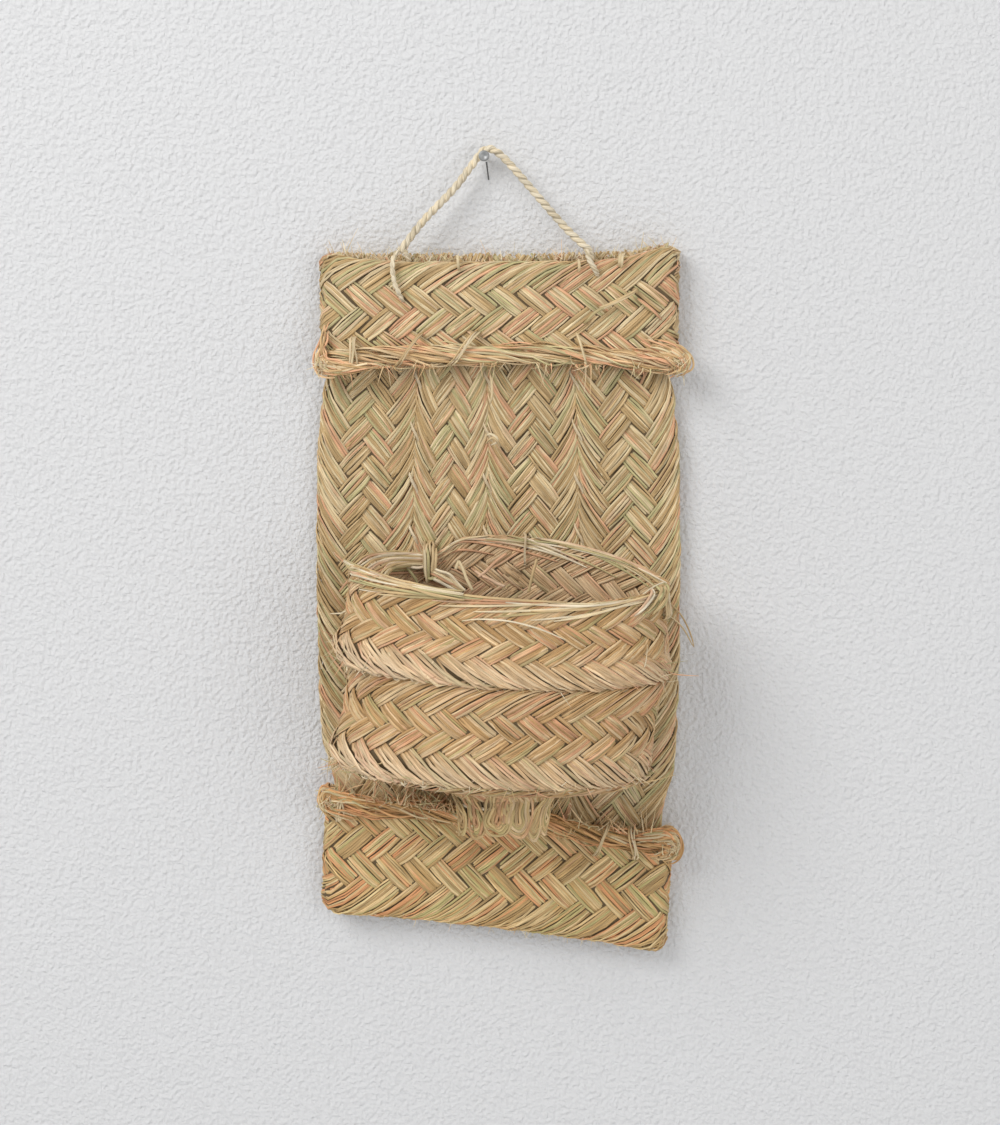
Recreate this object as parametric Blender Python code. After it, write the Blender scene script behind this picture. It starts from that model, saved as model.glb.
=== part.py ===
"""Wall basket plaited from esparto grass: a hanging panel of four upright plaits held between two
plaited bands, with an oval pocket of stacked plaits tied to its front and a cord to hang it by.

Metres, +Z up. The front looks along -Y and the wall is on the +Y side. The origin is the middle of the
nail that the cord hangs on. Every plait is a flat braid of eleven grass bundles, modelled here as the
solid strip that it fills.
"""
from math import atan2, cos, pi, sin, sqrt

import bmesh
import bpy
import numpy as np

# Fits shared by all pieces
FIT_GAP = 0.0003
PLAIT_THICK = 0.0050
TIE_RADIUS = 0.0010
SEAM_CORD_RADIUS = 0.0009

# Panel of upright plaits, from left to right. Its height runs between the bands' outer edges.
PANEL_HEIGHT = 0.3676
STRIP_WIDTHS = (0.0521, 0.0404, 0.0500, 0.0548)
PANEL_CENTRE_X = 0.0077
PANEL_TOP_STAND = 0.0045
PANEL_FOOT_STAND = 0.0015
STRIP_BEVEL = 0.0010
# Share of the way down the panel, and share of its full width beyond what fits in the bands
PANEL_WIDTH_SHARES = ((0.00, 0.00), (0.165, 0.00), (0.21, 0.48), (0.30, 0.85), (0.44, 1.00),
                      (0.56, 1.00), (0.66, 0.93), (0.735, 0.60), (0.775, 0.00), (1.00, 0.00))

# Plaited bands, folded round the panel and closed behind it
TOP_BAND_CENTRE_X = 0.0083
TOP_BAND_HALF_WIDTH = 0.0975
TOP_BAND_DROP = 0.0554
TOP_BAND_HEIGHT = 0.0488
TOP_BAND_END_RISE = 0.0042
TOP_BAND_TILT = 0.0027
TOP_CORD_SAG = 0.0045
FOOT_BAND_CENTRE_X = 0.0067
FOOT_BAND_HALF_WIDTH = 0.0965
FOOT_BAND_HEIGHT = 0.0618
FOOT_BAND_TILT = 0.0120
FOOT_BAND_SAG = 0.0030
FOOT_CORD_TILT = 0.0128
FOOT_CORD_RISE = 0.0010
EDGE_CORD_RADIUS = 0.0045
EDGE_CORD_PROUD = 0.0020
EDGE_CORD_TAIL = 0.0060
BAND_TIE_REACH = 0.0060
TOP_TIE_SHARES = (-0.80, -0.50, -0.20, 0.45)
FOOT_TIE_SHARES = (-0.89, 0.60, 0.78)

# Hanging cord of two twisted plies, and the eyes where its plies part round the band's top edge
CORD_RADIUS = 0.0022
PLY_RADIUS = 0.00115
LEFT_EYE_X = -0.0445
RIGHT_EYE_X = 0.0562
LEFT_EYE_DROP = 0.0175
RIGHT_EYE_DROP = 0.0060
CORD_END_SHARES = (0.50, 0.85)
# The cord's way over the nail between its feet on the band: places across and up
CORD_ROUTE = ((-0.0322, -0.0340), (-0.0158, -0.0170), (-0.0062, -0.0045), (0.0010, 0.0036),
              (0.0080, 0.0012), (0.0160, -0.0068), (0.0278, -0.0203), (0.0441, -0.0385))

# Oval pocket, which stands clear of the foot band's edge cord: half width, half depth, centre, droop
# to the front and roll at its three rings, from the rim down
POCKET_STAND = 0.0408
UPPER_ROW_HEIGHT = 0.0472
LOWER_ROW_HEIGHT = 0.0555
POCKET_HALF_WIDTHS = (0.0851, 0.0864, 0.0820)
POCKET_HALF_DEPTHS = (0.0465, 0.0480, 0.0460)
POCKET_CENTRES_X = (0.0135, 0.0107, 0.0040)
POCKET_DROOP_SHARES = (0.11, 0.06, 0.01)
POCKET_ROLL_SHARES = (-0.053, -0.062, -0.049)
POCKET_BACK_RISE = 0.0100
GATHER_CENTRE_X = 0.0110
GATHER_CENTRE_Y = -0.0400
GATHER_DROP = 0.0385
GATHER_CORD_RADIUS = 0.0010
GATHER_NECK_SHARE = 0.70
# The base's outline: share of the way in from the wall to the gather, and share of the gather's drop
BASE_OUTER_SHARES = ((0.00, 0.06), (0.04, 0.17), (0.20, 0.27), (0.45, 0.36), (0.62, 0.48),
                     (0.70, 0.66), (0.71, 0.92), (0.77, 1.00))
BASE_INNER_SHARES = ((0.93, 0.20), (0.55, 0.18), (0.25, 0.11), (0.09, 0.03))

# Ties that hold the pocket to the panel
KNOT_RADIUS = 0.0016
KNOT_X = -0.0300
CENTRE_TIE_X = 0.0220
LOW_TIE_PLACES = (-0.0120, 0.0340)
POCKET_TIE_DROP = 0.0170
LOW_TIE_HEIGHT = 0.0120
TIE_CORNER = 0.0028
WHIPPING_ANGLE = -0.30
WHIPPING_DROP = 0.0090

# Faceting
BAND_RUN_STEPS = 12
BAND_END_STEPS = 5
POCKET_STEPS = 32
CORNER_STEPS = 3
TUBE_SIDES = 6
EDGE_CORD_SIDES = 8
CORD_STEPS = 40

# Places that follow from the sizes above
TOP_BAND_Z = -TOP_BAND_DROP
TOP_CORD_Z = TOP_BAND_Z - TOP_BAND_HEIGHT
FOOT_BAND_Z = TOP_BAND_Z - PANEL_HEIGHT
FOOT_CORD_Z = FOOT_BAND_Z + FOOT_BAND_HEIGHT
POCKET_FOOT_Z = FOOT_CORD_Z + POCKET_STAND
POCKET_JOIN_Z = POCKET_FOOT_Z + LOWER_ROW_HEIGHT
POCKET_RIM_Z = POCKET_JOIN_Z + UPPER_ROW_HEIGHT
HALF_THICK = PLAIT_THICK / 2
FRONT_SPACE = 2 * PLY_RADIUS + 2 * FIT_GAP
SLEEVE_RADIUS = (FIT_GAP + PLAIT_THICK + FRONT_SPACE + PLAIT_THICK) / 2
STRIP_Y = SLEEVE_RADIUS - PLAIT_THICK - FIT_GAP
STRIP_FRONT_Y = STRIP_Y - HALF_THICK
STRIP_REAR_Y = STRIP_Y + HALF_THICK
EYE_RADIUS = HALF_THICK + FIT_GAP + PLY_RADIUS
UP = np.array((0.0, 0.0, 1.0))
RIGHT = np.array((1.0, 0.0, 0.0))
FORWARD = np.array((0.0, -1.0, 0.0))


def clear_scene():
    """Empties the scene that the part is built in."""
    for thing in list(bpy.data.objects):
        bpy.data.objects.remove(thing)


def grass(name, colour, roughness=0.75):
    """A matt plant-fibre finish."""
    made = bpy.data.materials.new(name)
    made.use_nodes = True
    shader = made.node_tree.nodes["Principled BSDF"]
    shader.inputs["Base Color"].default_value = (*colour, 1.0)
    shader.inputs["Roughness"].default_value = roughness
    shader.inputs["Metallic"].default_value = 0.0
    return made


def loft(name, sections, finish, ring=False):
    """Skins closed sections of equal point counts, in order. A ring joins the last to the first, and
    otherwise both ends are capped."""
    sections = np.asarray(sections, float)
    count, points = sections.shape[:2]
    mesh = bpy.data.meshes.new(name)
    shape = bmesh.new()
    rows = [[shape.verts.new(point) for point in section] for section in sections]
    for i in range(count if ring else count - 1):
        first = rows[i]
        second = rows[(i + 1) % count]
        for k in range(points):
            after = (k + 1) % points
            shape.faces.new((first[k], first[after], second[after], second[k]))
    if not ring:
        shape.faces.new(rows[0])
        shape.faces.new(rows[-1])
    bmesh.ops.recalc_face_normals(shape, faces=shape.faces)
    shape.to_mesh(mesh)
    shape.free()
    if finish:
        mesh.materials.append(finish)
    made = bpy.data.objects.new(name, mesh)
    bpy.context.scene.collection.objects.link(made)
    return made


def tube_sections(path, radius, side, closed, sides=TUBE_SIDES):
    """Circles round a path that lies across the direction side."""
    path = np.asarray(path, float)
    if closed:
        run = np.roll(path, -1, axis=0) - np.roll(path, 1, axis=0)
    else:
        run = np.gradient(path, axis=0)
    run /= np.linalg.norm(run, axis=1)[:, None]
    across = np.cross(run, side)
    across /= np.linalg.norm(across, axis=1)[:, None]
    over = np.cross(across, run)
    turn = 2 * pi * np.arange(sides) / sides
    return (path[:, None]
            + radius * np.cos(turn)[None, :, None] * across[:, None]
            + radius * np.sin(turn)[None, :, None] * over[:, None])


def closed_loop(centre, half_out, half_up, corner, out):
    """A rounded rectangle in the plane of out and up, as points."""
    points = []
    for quarter in range(4):
        angle = quarter * pi / 2
        centre_out = (half_out - corner) * (1 if quarter in (0, 3) else -1)
        centre_up = (half_up - corner) * (1 if quarter in (0, 1) else -1)
        for step in range(CORNER_STEPS + 1):
            turn = angle + step * pi / 2 / CORNER_STEPS
            place = (np.asarray(centre)
                     + (centre_out + corner * cos(turn)) * out
                     + (centre_up + corner * sin(turn)) * UP)
            if not points or np.linalg.norm(place - points[-1]) > corner / 100:
                points.append(place)
    if np.linalg.norm(points[0] - points[-1]) < corner / 100:
        points.pop()
    return points


def cut(body, loop, radius, side):
    """A channel for a loop of cord through a body, with a gap all round."""
    sections = tube_sections(loop, radius + FIT_GAP, side, closed=True)
    cutter = loft(f"{body.name}_channel", sections, None, ring=True)
    cutter.hide_render = True
    cutter.display_type = "WIRE"
    boolean = body.modifiers.new("channel", "BOOLEAN")
    boolean.operation = "DIFFERENCE"
    boolean.solver = "EXACT"
    boolean.object = cutter


def tie(name, loop, radius, side, finish, through):
    """One closed loop of binding grass, and its channels through the pieces that it binds."""
    loft(name, tube_sections(loop, radius, side, closed=True), finish, ring=True)
    for body in through:
        cut(body, loop, radius, side)


def along_band(x, centre_x, half_width):
    """Share of a band's half width, from -1 at its left end to 1 at its right."""
    return np.clip((x - centre_x) / half_width, -1.0, 1.0)


def top_band_upper(t):
    """The top band's upper edge, which rises at both ends and more at the right."""
    return TOP_BAND_Z + TOP_BAND_END_RISE * t**4 + TOP_BAND_TILT * t**3


def top_cord_level(t):
    """The middle of the top band's edge cord, which hangs lower at its ends."""
    return TOP_CORD_Z - TOP_CORD_SAG * t**2


def foot_band_lower(t):
    """The foot band's lower edge, which slopes down to the right."""
    return FOOT_BAND_Z - FOOT_BAND_TILT * t - FOOT_BAND_SAG * t**2


def foot_cord_level(t):
    """The middle of the foot band's edge cord, with much the same slope."""
    return FOOT_CORD_Z - FOOT_CORD_TILT * t + FOOT_CORD_RISE * t**2


def sleeve_plan(centre_x, half_width):
    """Points round the middle of a band's wall, seen from above, with their outward directions."""
    straight = half_width - HALF_THICK - SLEEVE_RADIUS
    run = np.linspace(-straight, straight, BAND_RUN_STEPS)
    bend = np.linspace(-pi / 2, pi / 2, BAND_END_STEPS + 2)[1:-1]
    front = [((centre_x + x, -SLEEVE_RADIUS), (0.0, -1.0)) for x in run]
    right = [((centre_x + straight + SLEEVE_RADIUS * cos(a), SLEEVE_RADIUS * sin(a)),
              (cos(a), sin(a))) for a in bend]
    rear = [((centre_x + x, SLEEVE_RADIUS), (0.0, 1.0)) for x in run[::-1]]
    left = [((centre_x - straight - SLEEVE_RADIUS * cos(a), -SLEEVE_RADIUS * sin(a)),
             (-cos(a), -sin(a))) for a in bend]
    return front + right + rear + left


def band(name, centre_x, half_width, upper, lower, finish):
    """A plait folded flat round the panel: a closed sleeve with rounded edges."""
    arc = np.linspace(0, pi, CORNER_STEPS + 1)
    sections = []
    for (x, y), (out_x, out_y) in sleeve_plan(centre_x, half_width):
        t = along_band(x, centre_x, half_width)
        high = upper(t) - HALF_THICK
        low = lower(t) + HALF_THICK
        profile = [(HALF_THICK * cos(a), high + HALF_THICK * sin(a)) for a in arc]
        profile += [(HALF_THICK * cos(a), low + HALF_THICK * sin(a)) for a in arc + pi]
        sections.append([(x + n * out_x, y + n * out_y, z) for n, z in profile])
    return loft(name, sections, finish, ring=True)


def edge_cord(name, centre_x, half_width, level, finish):
    """The hank laid along a band's inner edge, over the front and tucked behind both sides."""
    straight = half_width - HALF_THICK - SLEEVE_RADIUS
    reach = SLEEVE_RADIUS + EDGE_CORD_PROUD
    bend = np.linspace(0, pi / 2, BAND_END_STEPS)
    front = [(x, -reach) for x in np.linspace(-straight, straight, BAND_RUN_STEPS)]
    right = [(straight + reach * sin(a), -reach * cos(a)) for a in bend[1:]]
    left = [(-x, y) for x, y in right[::-1]]
    plan = [(left[0][0], EDGE_CORD_TAIL)] + left + front + right + [(right[-1][0], EDGE_CORD_TAIL)]
    path = [(centre_x + x, y, level(along_band(x, 0.0, half_width))) for x, y in plan]
    sections = tube_sections(path, EDGE_CORD_RADIUS, UP, closed=False, sides=EDGE_CORD_SIDES)
    loft(name, sections, finish)


def bands_and_cords(finish):
    """Both bands, each with the hank along its inner edge and the ties that whip it on."""
    clear = EDGE_CORD_RADIUS + FIT_GAP
    rear_y = -SLEEVE_RADIUS + HALF_THICK + FIT_GAP + TIE_RADIUS
    cord_y = -SLEEVE_RADIUS - EDGE_CORD_PROUD
    front_y = cord_y - clear - TIE_RADIUS
    radius = (rear_y - front_y) / 2
    top = band("top_band", TOP_BAND_CENTRE_X, TOP_BAND_HALF_WIDTH, top_band_upper,
               lambda t: top_cord_level(t) + clear, finish["band"])
    foot = band("foot_band", FOOT_BAND_CENTRE_X, FOOT_BAND_HALF_WIDTH,
                lambda t: foot_cord_level(t) - clear, foot_band_lower, finish["band"])
    edge_cord("top_edge_cord", TOP_BAND_CENTRE_X, TOP_BAND_HALF_WIDTH, top_cord_level,
              finish["edge"])
    edge_cord("foot_edge_cord", FOOT_BAND_CENTRE_X, FOOT_BAND_HALF_WIDTH, foot_cord_level,
              finish["edge"])
    rows = ((top, "top", TOP_TIE_SHARES, TOP_BAND_CENTRE_X, TOP_BAND_HALF_WIDTH, top_cord_level, 1),
            (foot, "foot", FOOT_TIE_SHARES, FOOT_BAND_CENTRE_X, FOOT_BAND_HALF_WIDTH,
             foot_cord_level, -1))
    for body, word, shares, centre_x, half_width, level, way in rows:
        for number, share in enumerate(shares, 1):
            x = centre_x + share * half_width
            z = level(share) + way * BAND_TIE_REACH / 2
            loop = closed_loop((x, (front_y + rear_y) / 2, z), radius,
                               radius + BAND_TIE_REACH / 2, radius, FORWARD)
            tie(f"{word}_band_tie_{number}", loop, TIE_RADIUS, RIGHT, finish["tie"], [body])
    return top


def panel_squeeze(share):
    """The panel is full width at its middle and is drawn in to pass through both bands."""
    straight = min(TOP_BAND_HALF_WIDTH, FOOT_BAND_HALF_WIDTH) - HALF_THICK - SLEEVE_RADIUS
    offset = max(abs(PANEL_CENTRE_X - TOP_BAND_CENTRE_X), abs(PANEL_CENTRE_X - FOOT_BAND_CENTRE_X))
    fitted = 2 * (straight - offset + HALF_THICK) / sum(STRIP_WIDTHS)
    return np.interp(share, *zip(*PANEL_WIDTH_SHARES, strict=True)) * (1 - fitted) + fitted


def panel_level(x, share):
    """A height on the panel, a share of the way down from its upper end to its lower one."""
    high = top_band_upper(along_band(x, TOP_BAND_CENTRE_X, TOP_BAND_HALF_WIDTH)) + PANEL_TOP_STAND
    low = foot_band_lower(along_band(x, FOOT_BAND_CENTRE_X, FOOT_BAND_HALF_WIDTH))
    return high + share * (low - PANEL_FOOT_STAND - high)


def plait_edge(way, grooved):
    """One edge of an upright plait's section, as offsets inward from the edge and towards the wall.
    An edge that meets another plait has a groove for half of the seam cord, and others are round."""
    if grooved:
        groove = SEAM_CORD_RADIUS + FIT_GAP
        arc = np.linspace(pi / 2, -pi / 2, CORNER_STEPS + 1)
        edge = [(STRIP_BEVEL, HALF_THICK), (0.0, HALF_THICK - STRIP_BEVEL)]
        edge += [(groove * cos(a), groove * sin(a)) for a in arc]
        edge += [(0.0, STRIP_BEVEL - HALF_THICK), (STRIP_BEVEL, -HALF_THICK)]
    else:
        arc = np.linspace(pi / 2, -pi / 2, 2 * CORNER_STEPS + 1)
        edge = [(HALF_THICK * (1 - cos(a)), HALF_THICK * sin(a)) for a in arc]
    return [(way * x, y) for x, y in edge[::way]]


def panel(finish):
    """Four upright plaits side by side, with the cord that laces each pair of edges together."""
    edges = np.cumsum((0.0, *STRIP_WIDTHS)) - sum(STRIP_WIDTHS) / 2
    last = len(STRIP_WIDTHS) - 1
    shares = [share for share, _ in PANEL_WIDTH_SHARES]
    strips = []
    for number, (left, right) in enumerate(zip(edges[:-1], edges[1:], strict=True)):
        outline = [(left, (FIT_GAP / 2 if number else 0.0) + x, y)
                   for x, y in plait_edge(1, number > 0)]
        outline += [(right, (-FIT_GAP / 2 if number < last else 0.0) + x, y)
                    for x, y in plait_edge(-1, number < last)]
        sections = []
        for share in shares:
            squeeze = panel_squeeze(share)
            spots = [(PANEL_CENTRE_X + place * squeeze + x, STRIP_Y + y) for place, x, y in outline]
            sections.append([(x, y, panel_level(x, share)) for x, y in spots])
        strips.append(loft(f"upright_plait_{number + 1}", sections, finish["panel"]))
    for number, edge in enumerate(edges[1:-1], 1):
        spots = [(PANEL_CENTRE_X + edge * panel_squeeze(share), share) for share in shares]
        path = [(x, STRIP_Y, panel_level(x, share)) for x, share in spots]
        path[0] = (path[0][0], STRIP_Y, path[0][2] - PANEL_TOP_STAND)
        path[-1] = (path[-1][0], STRIP_Y, path[-1][2] + PANEL_TOP_STAND)
        loft(f"panel_seam_cord_{number}", tube_sections(path, SEAM_CORD_RADIUS, RIGHT, False),
             finish["tie"])
    return strips, edges


def ring_value(level, values):
    """A pocket size between its three named rings, at a level between rim and foot."""
    return np.interp(level, (POCKET_FOOT_Z, POCKET_JOIN_Z, POCKET_RIM_Z), values[::-1])


def pocket_direction(level, angle):
    """The way straight out of the pocket's wall, level, at an angle round it."""
    wide = ring_value(level, POCKET_HALF_WIDTHS)
    deep = ring_value(level, POCKET_HALF_DEPTHS)
    out = np.array((cos(angle) / wide, sin(angle) / deep, 0.0))
    return out / np.linalg.norm(out)


def pocket_point(level, angle, outward=0.0, height=0.0):
    """A point on the middle of the pocket's wall. The angle runs from the right end over the back,
    level is the nominal height, and outward and height are offsets from the wall there."""
    inner = max(min(level, POCKET_RIM_Z), POCKET_FOOT_Z)
    wide = ring_value(inner, POCKET_HALF_WIDTHS) - HALF_THICK
    deep = ring_value(inner, POCKET_HALF_DEPTHS) - HALF_THICK
    centre_x = ring_value(inner, POCKET_CENTRES_X)
    centre_y = STRIP_FRONT_Y - FIT_GAP - HALF_THICK - deep
    x = wide * cos(angle)
    y = deep * sin(angle)
    rise = POCKET_BACK_RISE * (inner - POCKET_FOOT_Z) / (POCKET_RIM_Z - POCKET_FOOT_Z)
    z = level + x * ring_value(inner, POCKET_ROLL_SHARES) + y * ring_value(inner, POCKET_DROOP_SHARES)
    z += rise * max(sin(angle), 0.0)**2
    place = np.array((centre_x + x, centre_y + y, z + height))
    return place + outward * pocket_direction(inner, angle)


def pocket_angles():
    """The angles of the pocket's facets, from its right end over the back."""
    return 2 * pi * np.arange(POCKET_STEPS) / POCKET_STEPS


def pocket_row(name, high, low, round_top, finish):
    """One plait of the pocket's wall. A joined edge is flat, with a groove for the seam cord."""
    groove = SEAM_CORD_RADIUS + FIT_GAP
    arc = np.linspace(0, pi, CORNER_STEPS + 1)
    if round_top:
        upper = [(HALF_THICK * cos(a), high, HALF_THICK * (sin(a) - 1)) for a in arc]
    else:
        upper = [(HALF_THICK, high, -FIT_GAP / 2)]
        upper += [(groove * cos(a), high, -groove * sin(a) - FIT_GAP / 2) for a in arc]
        upper += [(-HALF_THICK, high, -FIT_GAP / 2)]
    lower = [(-HALF_THICK, low, FIT_GAP / 2)]
    lower += [(-groove * cos(a), low, groove * sin(a) + FIT_GAP / 2) for a in arc]
    lower += [(HALF_THICK, low, FIT_GAP / 2)]
    sections = [[pocket_point(level, angle, out, height) for out, level, height in upper + lower]
                for angle in pocket_angles()]
    return loft(name, sections, finish, ring=True)


def base_ring(way_in, drop, outward):
    """One ring of the base, part of the way from the wall's foot in to the gather."""
    foot = np.array([pocket_point(POCKET_FOOT_Z, a, outward) for a in pocket_angles()])
    gather = np.array((GATHER_CENTRE_X, GATHER_CENTRE_Y, 0.0))
    ring = foot + way_in * (gather - foot) * np.array((1.0, 1.0, 0.0))
    ring[:, 2] = foot[:, 2] - drop
    level = np.mean(foot[:, 2]) - drop
    ring[:, 2] += way_in * (level - ring[:, 2])
    return ring


def pocket_base(finish):
    """The lowest plait, drawn in to a gather under the pocket, and the cord that draws it in."""
    groove = SEAM_CORD_RADIUS + FIT_GAP
    arc = np.linspace(pi, 0, CORNER_STEPS + 1)
    inner = [base_ring(way, GATHER_DROP * drop, -HALF_THICK) for way, drop in BASE_INNER_SHARES]
    seat = [base_ring(0.0, FIT_GAP / 2, -HALF_THICK)]
    seat += [base_ring(0.0, FIT_GAP / 2 + groove * sin(a), groove * cos(a)) for a in arc]
    seat += [base_ring(0.0, FIT_GAP / 2, HALF_THICK)]
    outer = [base_ring(way, GATHER_DROP * drop, HALF_THICK) for way, drop in BASE_OUTER_SHARES]
    loft("pocket_base", inner + seat + outer, finish["pocket"])
    ways, drops = zip(*BASE_OUTER_SHARES, strict=True)
    way = np.interp(GATHER_NECK_SHARE, drops, ways)
    neck = base_ring(way, GATHER_DROP * GATHER_NECK_SHARE, HALF_THICK)
    out = neck - neck.mean(axis=0)
    out[:, 2] = 0.0
    out /= np.linalg.norm(out, axis=1)[:, None]
    path = (neck + out * (GATHER_CORD_RADIUS + 2 * FIT_GAP))[::2]
    loft("gather_cord", tube_sections(path, GATHER_CORD_RADIUS, UP, True), finish["tie"], ring=True)


def rim_angle(x):
    """The angle of the pocket's back wall at a place across the panel."""
    share = (x - POCKET_CENTRES_X[0]) / (POCKET_HALF_WIDTHS[0] - HALF_THICK)
    return atan2(sqrt(1 - share**2), share)


def pocket_tie(name, x, high, low, radius, wall, strip, finish):
    """A loop that binds the pocket's back wall to the plait behind it."""
    angle = rim_angle(x)
    out = pocket_direction(POCKET_RIM_Z, angle)
    wall_y = pocket_point((high + low) / 2, angle)[1]
    front = wall_y - HALF_THICK / out[1] - 2 * FIT_GAP - radius
    rear = STRIP_REAR_Y + FIT_GAP + radius
    loop = closed_loop((x, (front + rear) / 2, (high + low) / 2), (rear - front) / 2,
                       (high - low) / 2, TIE_CORNER, FORWARD)
    tie(name, loop, radius, RIGHT, finish["tie"], [wall, strip])


def pocket(strips, edges, finish):
    """The oval pocket and everything that holds it together and to the panel."""
    upper = pocket_row("pocket_upper_row", POCKET_RIM_Z, POCKET_JOIN_Z, True, finish["pocket"])
    lower = pocket_row("pocket_lower_row", POCKET_JOIN_Z, POCKET_FOOT_Z, False, finish["pocket"])
    pocket_base(finish)
    for name, level in (("pocket_seam_cord_1", POCKET_JOIN_Z), ("pocket_seam_cord_2", POCKET_FOOT_Z)):
        path = [pocket_point(level, angle) for angle in pocket_angles()]
        loft(name, tube_sections(path, SEAM_CORD_RADIUS, UP, True), finish["tie"], ring=True)

    def strip_at(x):
        return strips[int(np.searchsorted(edges[1:-1], x - PANEL_CENTRE_X))]

    for name, x, radius in (("pocket_knot", KNOT_X, KNOT_RADIUS),
                            ("pocket_rim_tie", CENTRE_TIE_X, TIE_RADIUS)):
        high = pocket_point(POCKET_RIM_Z, rim_angle(x))[2] + 2 * FIT_GAP + radius
        pocket_tie(name, x, high, high - POCKET_TIE_DROP, radius, upper, strip_at(x), finish)
    for number, x in enumerate(LOW_TIE_PLACES, 1):
        middle = (POCKET_JOIN_Z + POCKET_FOOT_Z) / 2
        pocket_tie(f"pocket_low_tie_{number}", x, middle + LOW_TIE_HEIGHT / 2,
                   middle - LOW_TIE_HEIGHT / 2, TIE_RADIUS, lower, strip_at(x), finish)
    rim = pocket_point(POCKET_RIM_Z, WHIPPING_ANGLE)
    out = pocket_direction(POCKET_RIM_Z, WHIPPING_ANGLE)
    reach = HALF_THICK + FIT_GAP + TIE_RADIUS
    centre = rim - (HALF_THICK + WHIPPING_DROP / 2) * UP
    loop = closed_loop(centre, reach, reach + WHIPPING_DROP / 2, reach, out)
    tie("pocket_rim_whipping", loop, TIE_RADIUS, np.cross(out, UP), finish["tie"], [upper])


def smooth(points, count):
    """Points read evenly from a Catmull-Rom curve through the given ones."""
    points = np.asarray(points, float)
    held = np.concatenate([[2 * points[0] - points[1]], points, [2 * points[-1] - points[-2]]])
    fine = []
    for a, b, c, d in zip(held[:-3], held[1:-2], held[2:-1], held[3:], strict=True):
        for t in np.linspace(0, 1, 8, endpoint=False):
            fine.append(0.5 * (2 * b + (c - a) * t + (2 * a - 5 * b + 4 * c - d) * t**2
                               + (3 * b - a - 3 * c + d) * t**3))
    fine.append(points[-1])
    fine = np.array(fine)
    far = np.concatenate([[0.0], np.cumsum(np.linalg.norm(np.diff(fine, axis=0), axis=1))])
    at = np.linspace(0, far[-1], count)
    return np.stack([np.interp(at, far, fine[:, k]) for k in range(points.shape[1])], axis=1)


def hinge_level():
    """The height where the cord's plies part above the band, the axis that the panel swings on."""
    edges = [top_band_upper(along_band(x, TOP_BAND_CENTRE_X, TOP_BAND_HALF_WIDTH))
             for x in (LEFT_EYE_X, RIGHT_EYE_X)]
    return max(edges) - HALF_THICK + EYE_RADIUS + PLY_RADIUS + FIT_GAP + CORD_RADIUS


def round_end(end, before):
    """Stations past a cord's end that round it off: places, and shares of the cord's radius."""
    way = (end - before) / np.linalg.norm(end - before)
    return [(end + way * CORD_RADIUS * share, sqrt(1 - share**2)) for share in CORD_END_SHARES]


def hanging_cord(top_band, finish):
    """The twisted cord over the nail, round-ended on the swing axis, and the eye at each end."""
    foot_z = hinge_level()
    route = [(LEFT_EYE_X, foot_z), *CORD_ROUTE, (RIGHT_EYE_X, foot_z)]
    line = smooth([(x, -SLEEVE_RADIUS * max(z / foot_z, 0.0), z) for x, z in route], CORD_STEPS)
    stations = [*round_end(line[0], line[1])[::-1], *((point, 1.0) for point in line),
                *round_end(line[-1], line[-2])]
    curve = bpy.data.curves.new("hanging_cord", "CURVE")
    curve.dimensions = "3D"
    curve.bevel_depth = CORD_RADIUS
    curve.bevel_resolution = 2
    curve.use_fill_caps = True
    spline = curve.splines.new("POLY")
    spline.points.add(len(stations) - 1)
    for point, (place, size) in zip(spline.points, stations, strict=True):
        point.co = (*place, 1.0)
        point.radius = size
    curve.materials.append(finish["cord"])
    bpy.context.scene.collection.objects.link(bpy.data.objects.new("hanging_cord", curve))
    top = foot_z - CORD_RADIUS - FIT_GAP - PLY_RADIUS
    for name, x, drop in (("left_cord_eye", LEFT_EYE_X, LEFT_EYE_DROP),
                          ("right_cord_eye", RIGHT_EYE_X, RIGHT_EYE_DROP)):
        centre = (x, -SLEEVE_RADIUS, top - EYE_RADIUS - (drop - EYE_RADIUS) / 2)
        loop = closed_loop(centre, EYE_RADIUS, EYE_RADIUS + (drop - EYE_RADIUS) / 2, EYE_RADIUS,
                           FORWARD)
        tie(name, loop, PLY_RADIUS, RIGHT, finish["cord"], [top_band])


def main():
    """Builds every piece, from the bands inward and out to the cord."""
    clear_scene()
    finish = {
        "panel": grass("panel_grass", (0.48, 0.38, 0.19)),
        "band": grass("band_grass", (0.52, 0.37, 0.18)),
        "edge": grass("edge_grass", (0.55, 0.37, 0.19)),
        "pocket": grass("pocket_grass", (0.56, 0.40, 0.20)),
        "tie": grass("tie_grass", (0.58, 0.47, 0.29)),
        "cord": grass("cord_grass", (0.72, 0.60, 0.40)),
    }
    top_band = bands_and_cords(finish)
    strips, edges = panel(finish)
    pocket(strips, edges, finish)
    hanging_cord(top_band, finish)


main()
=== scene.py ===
"""Looks of the wall basket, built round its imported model: every grass blade of every plait, the ropes
and ties, and the twisted cord. Metres, +Z up, the front looks along -Y, the origin is the nail."""

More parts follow.
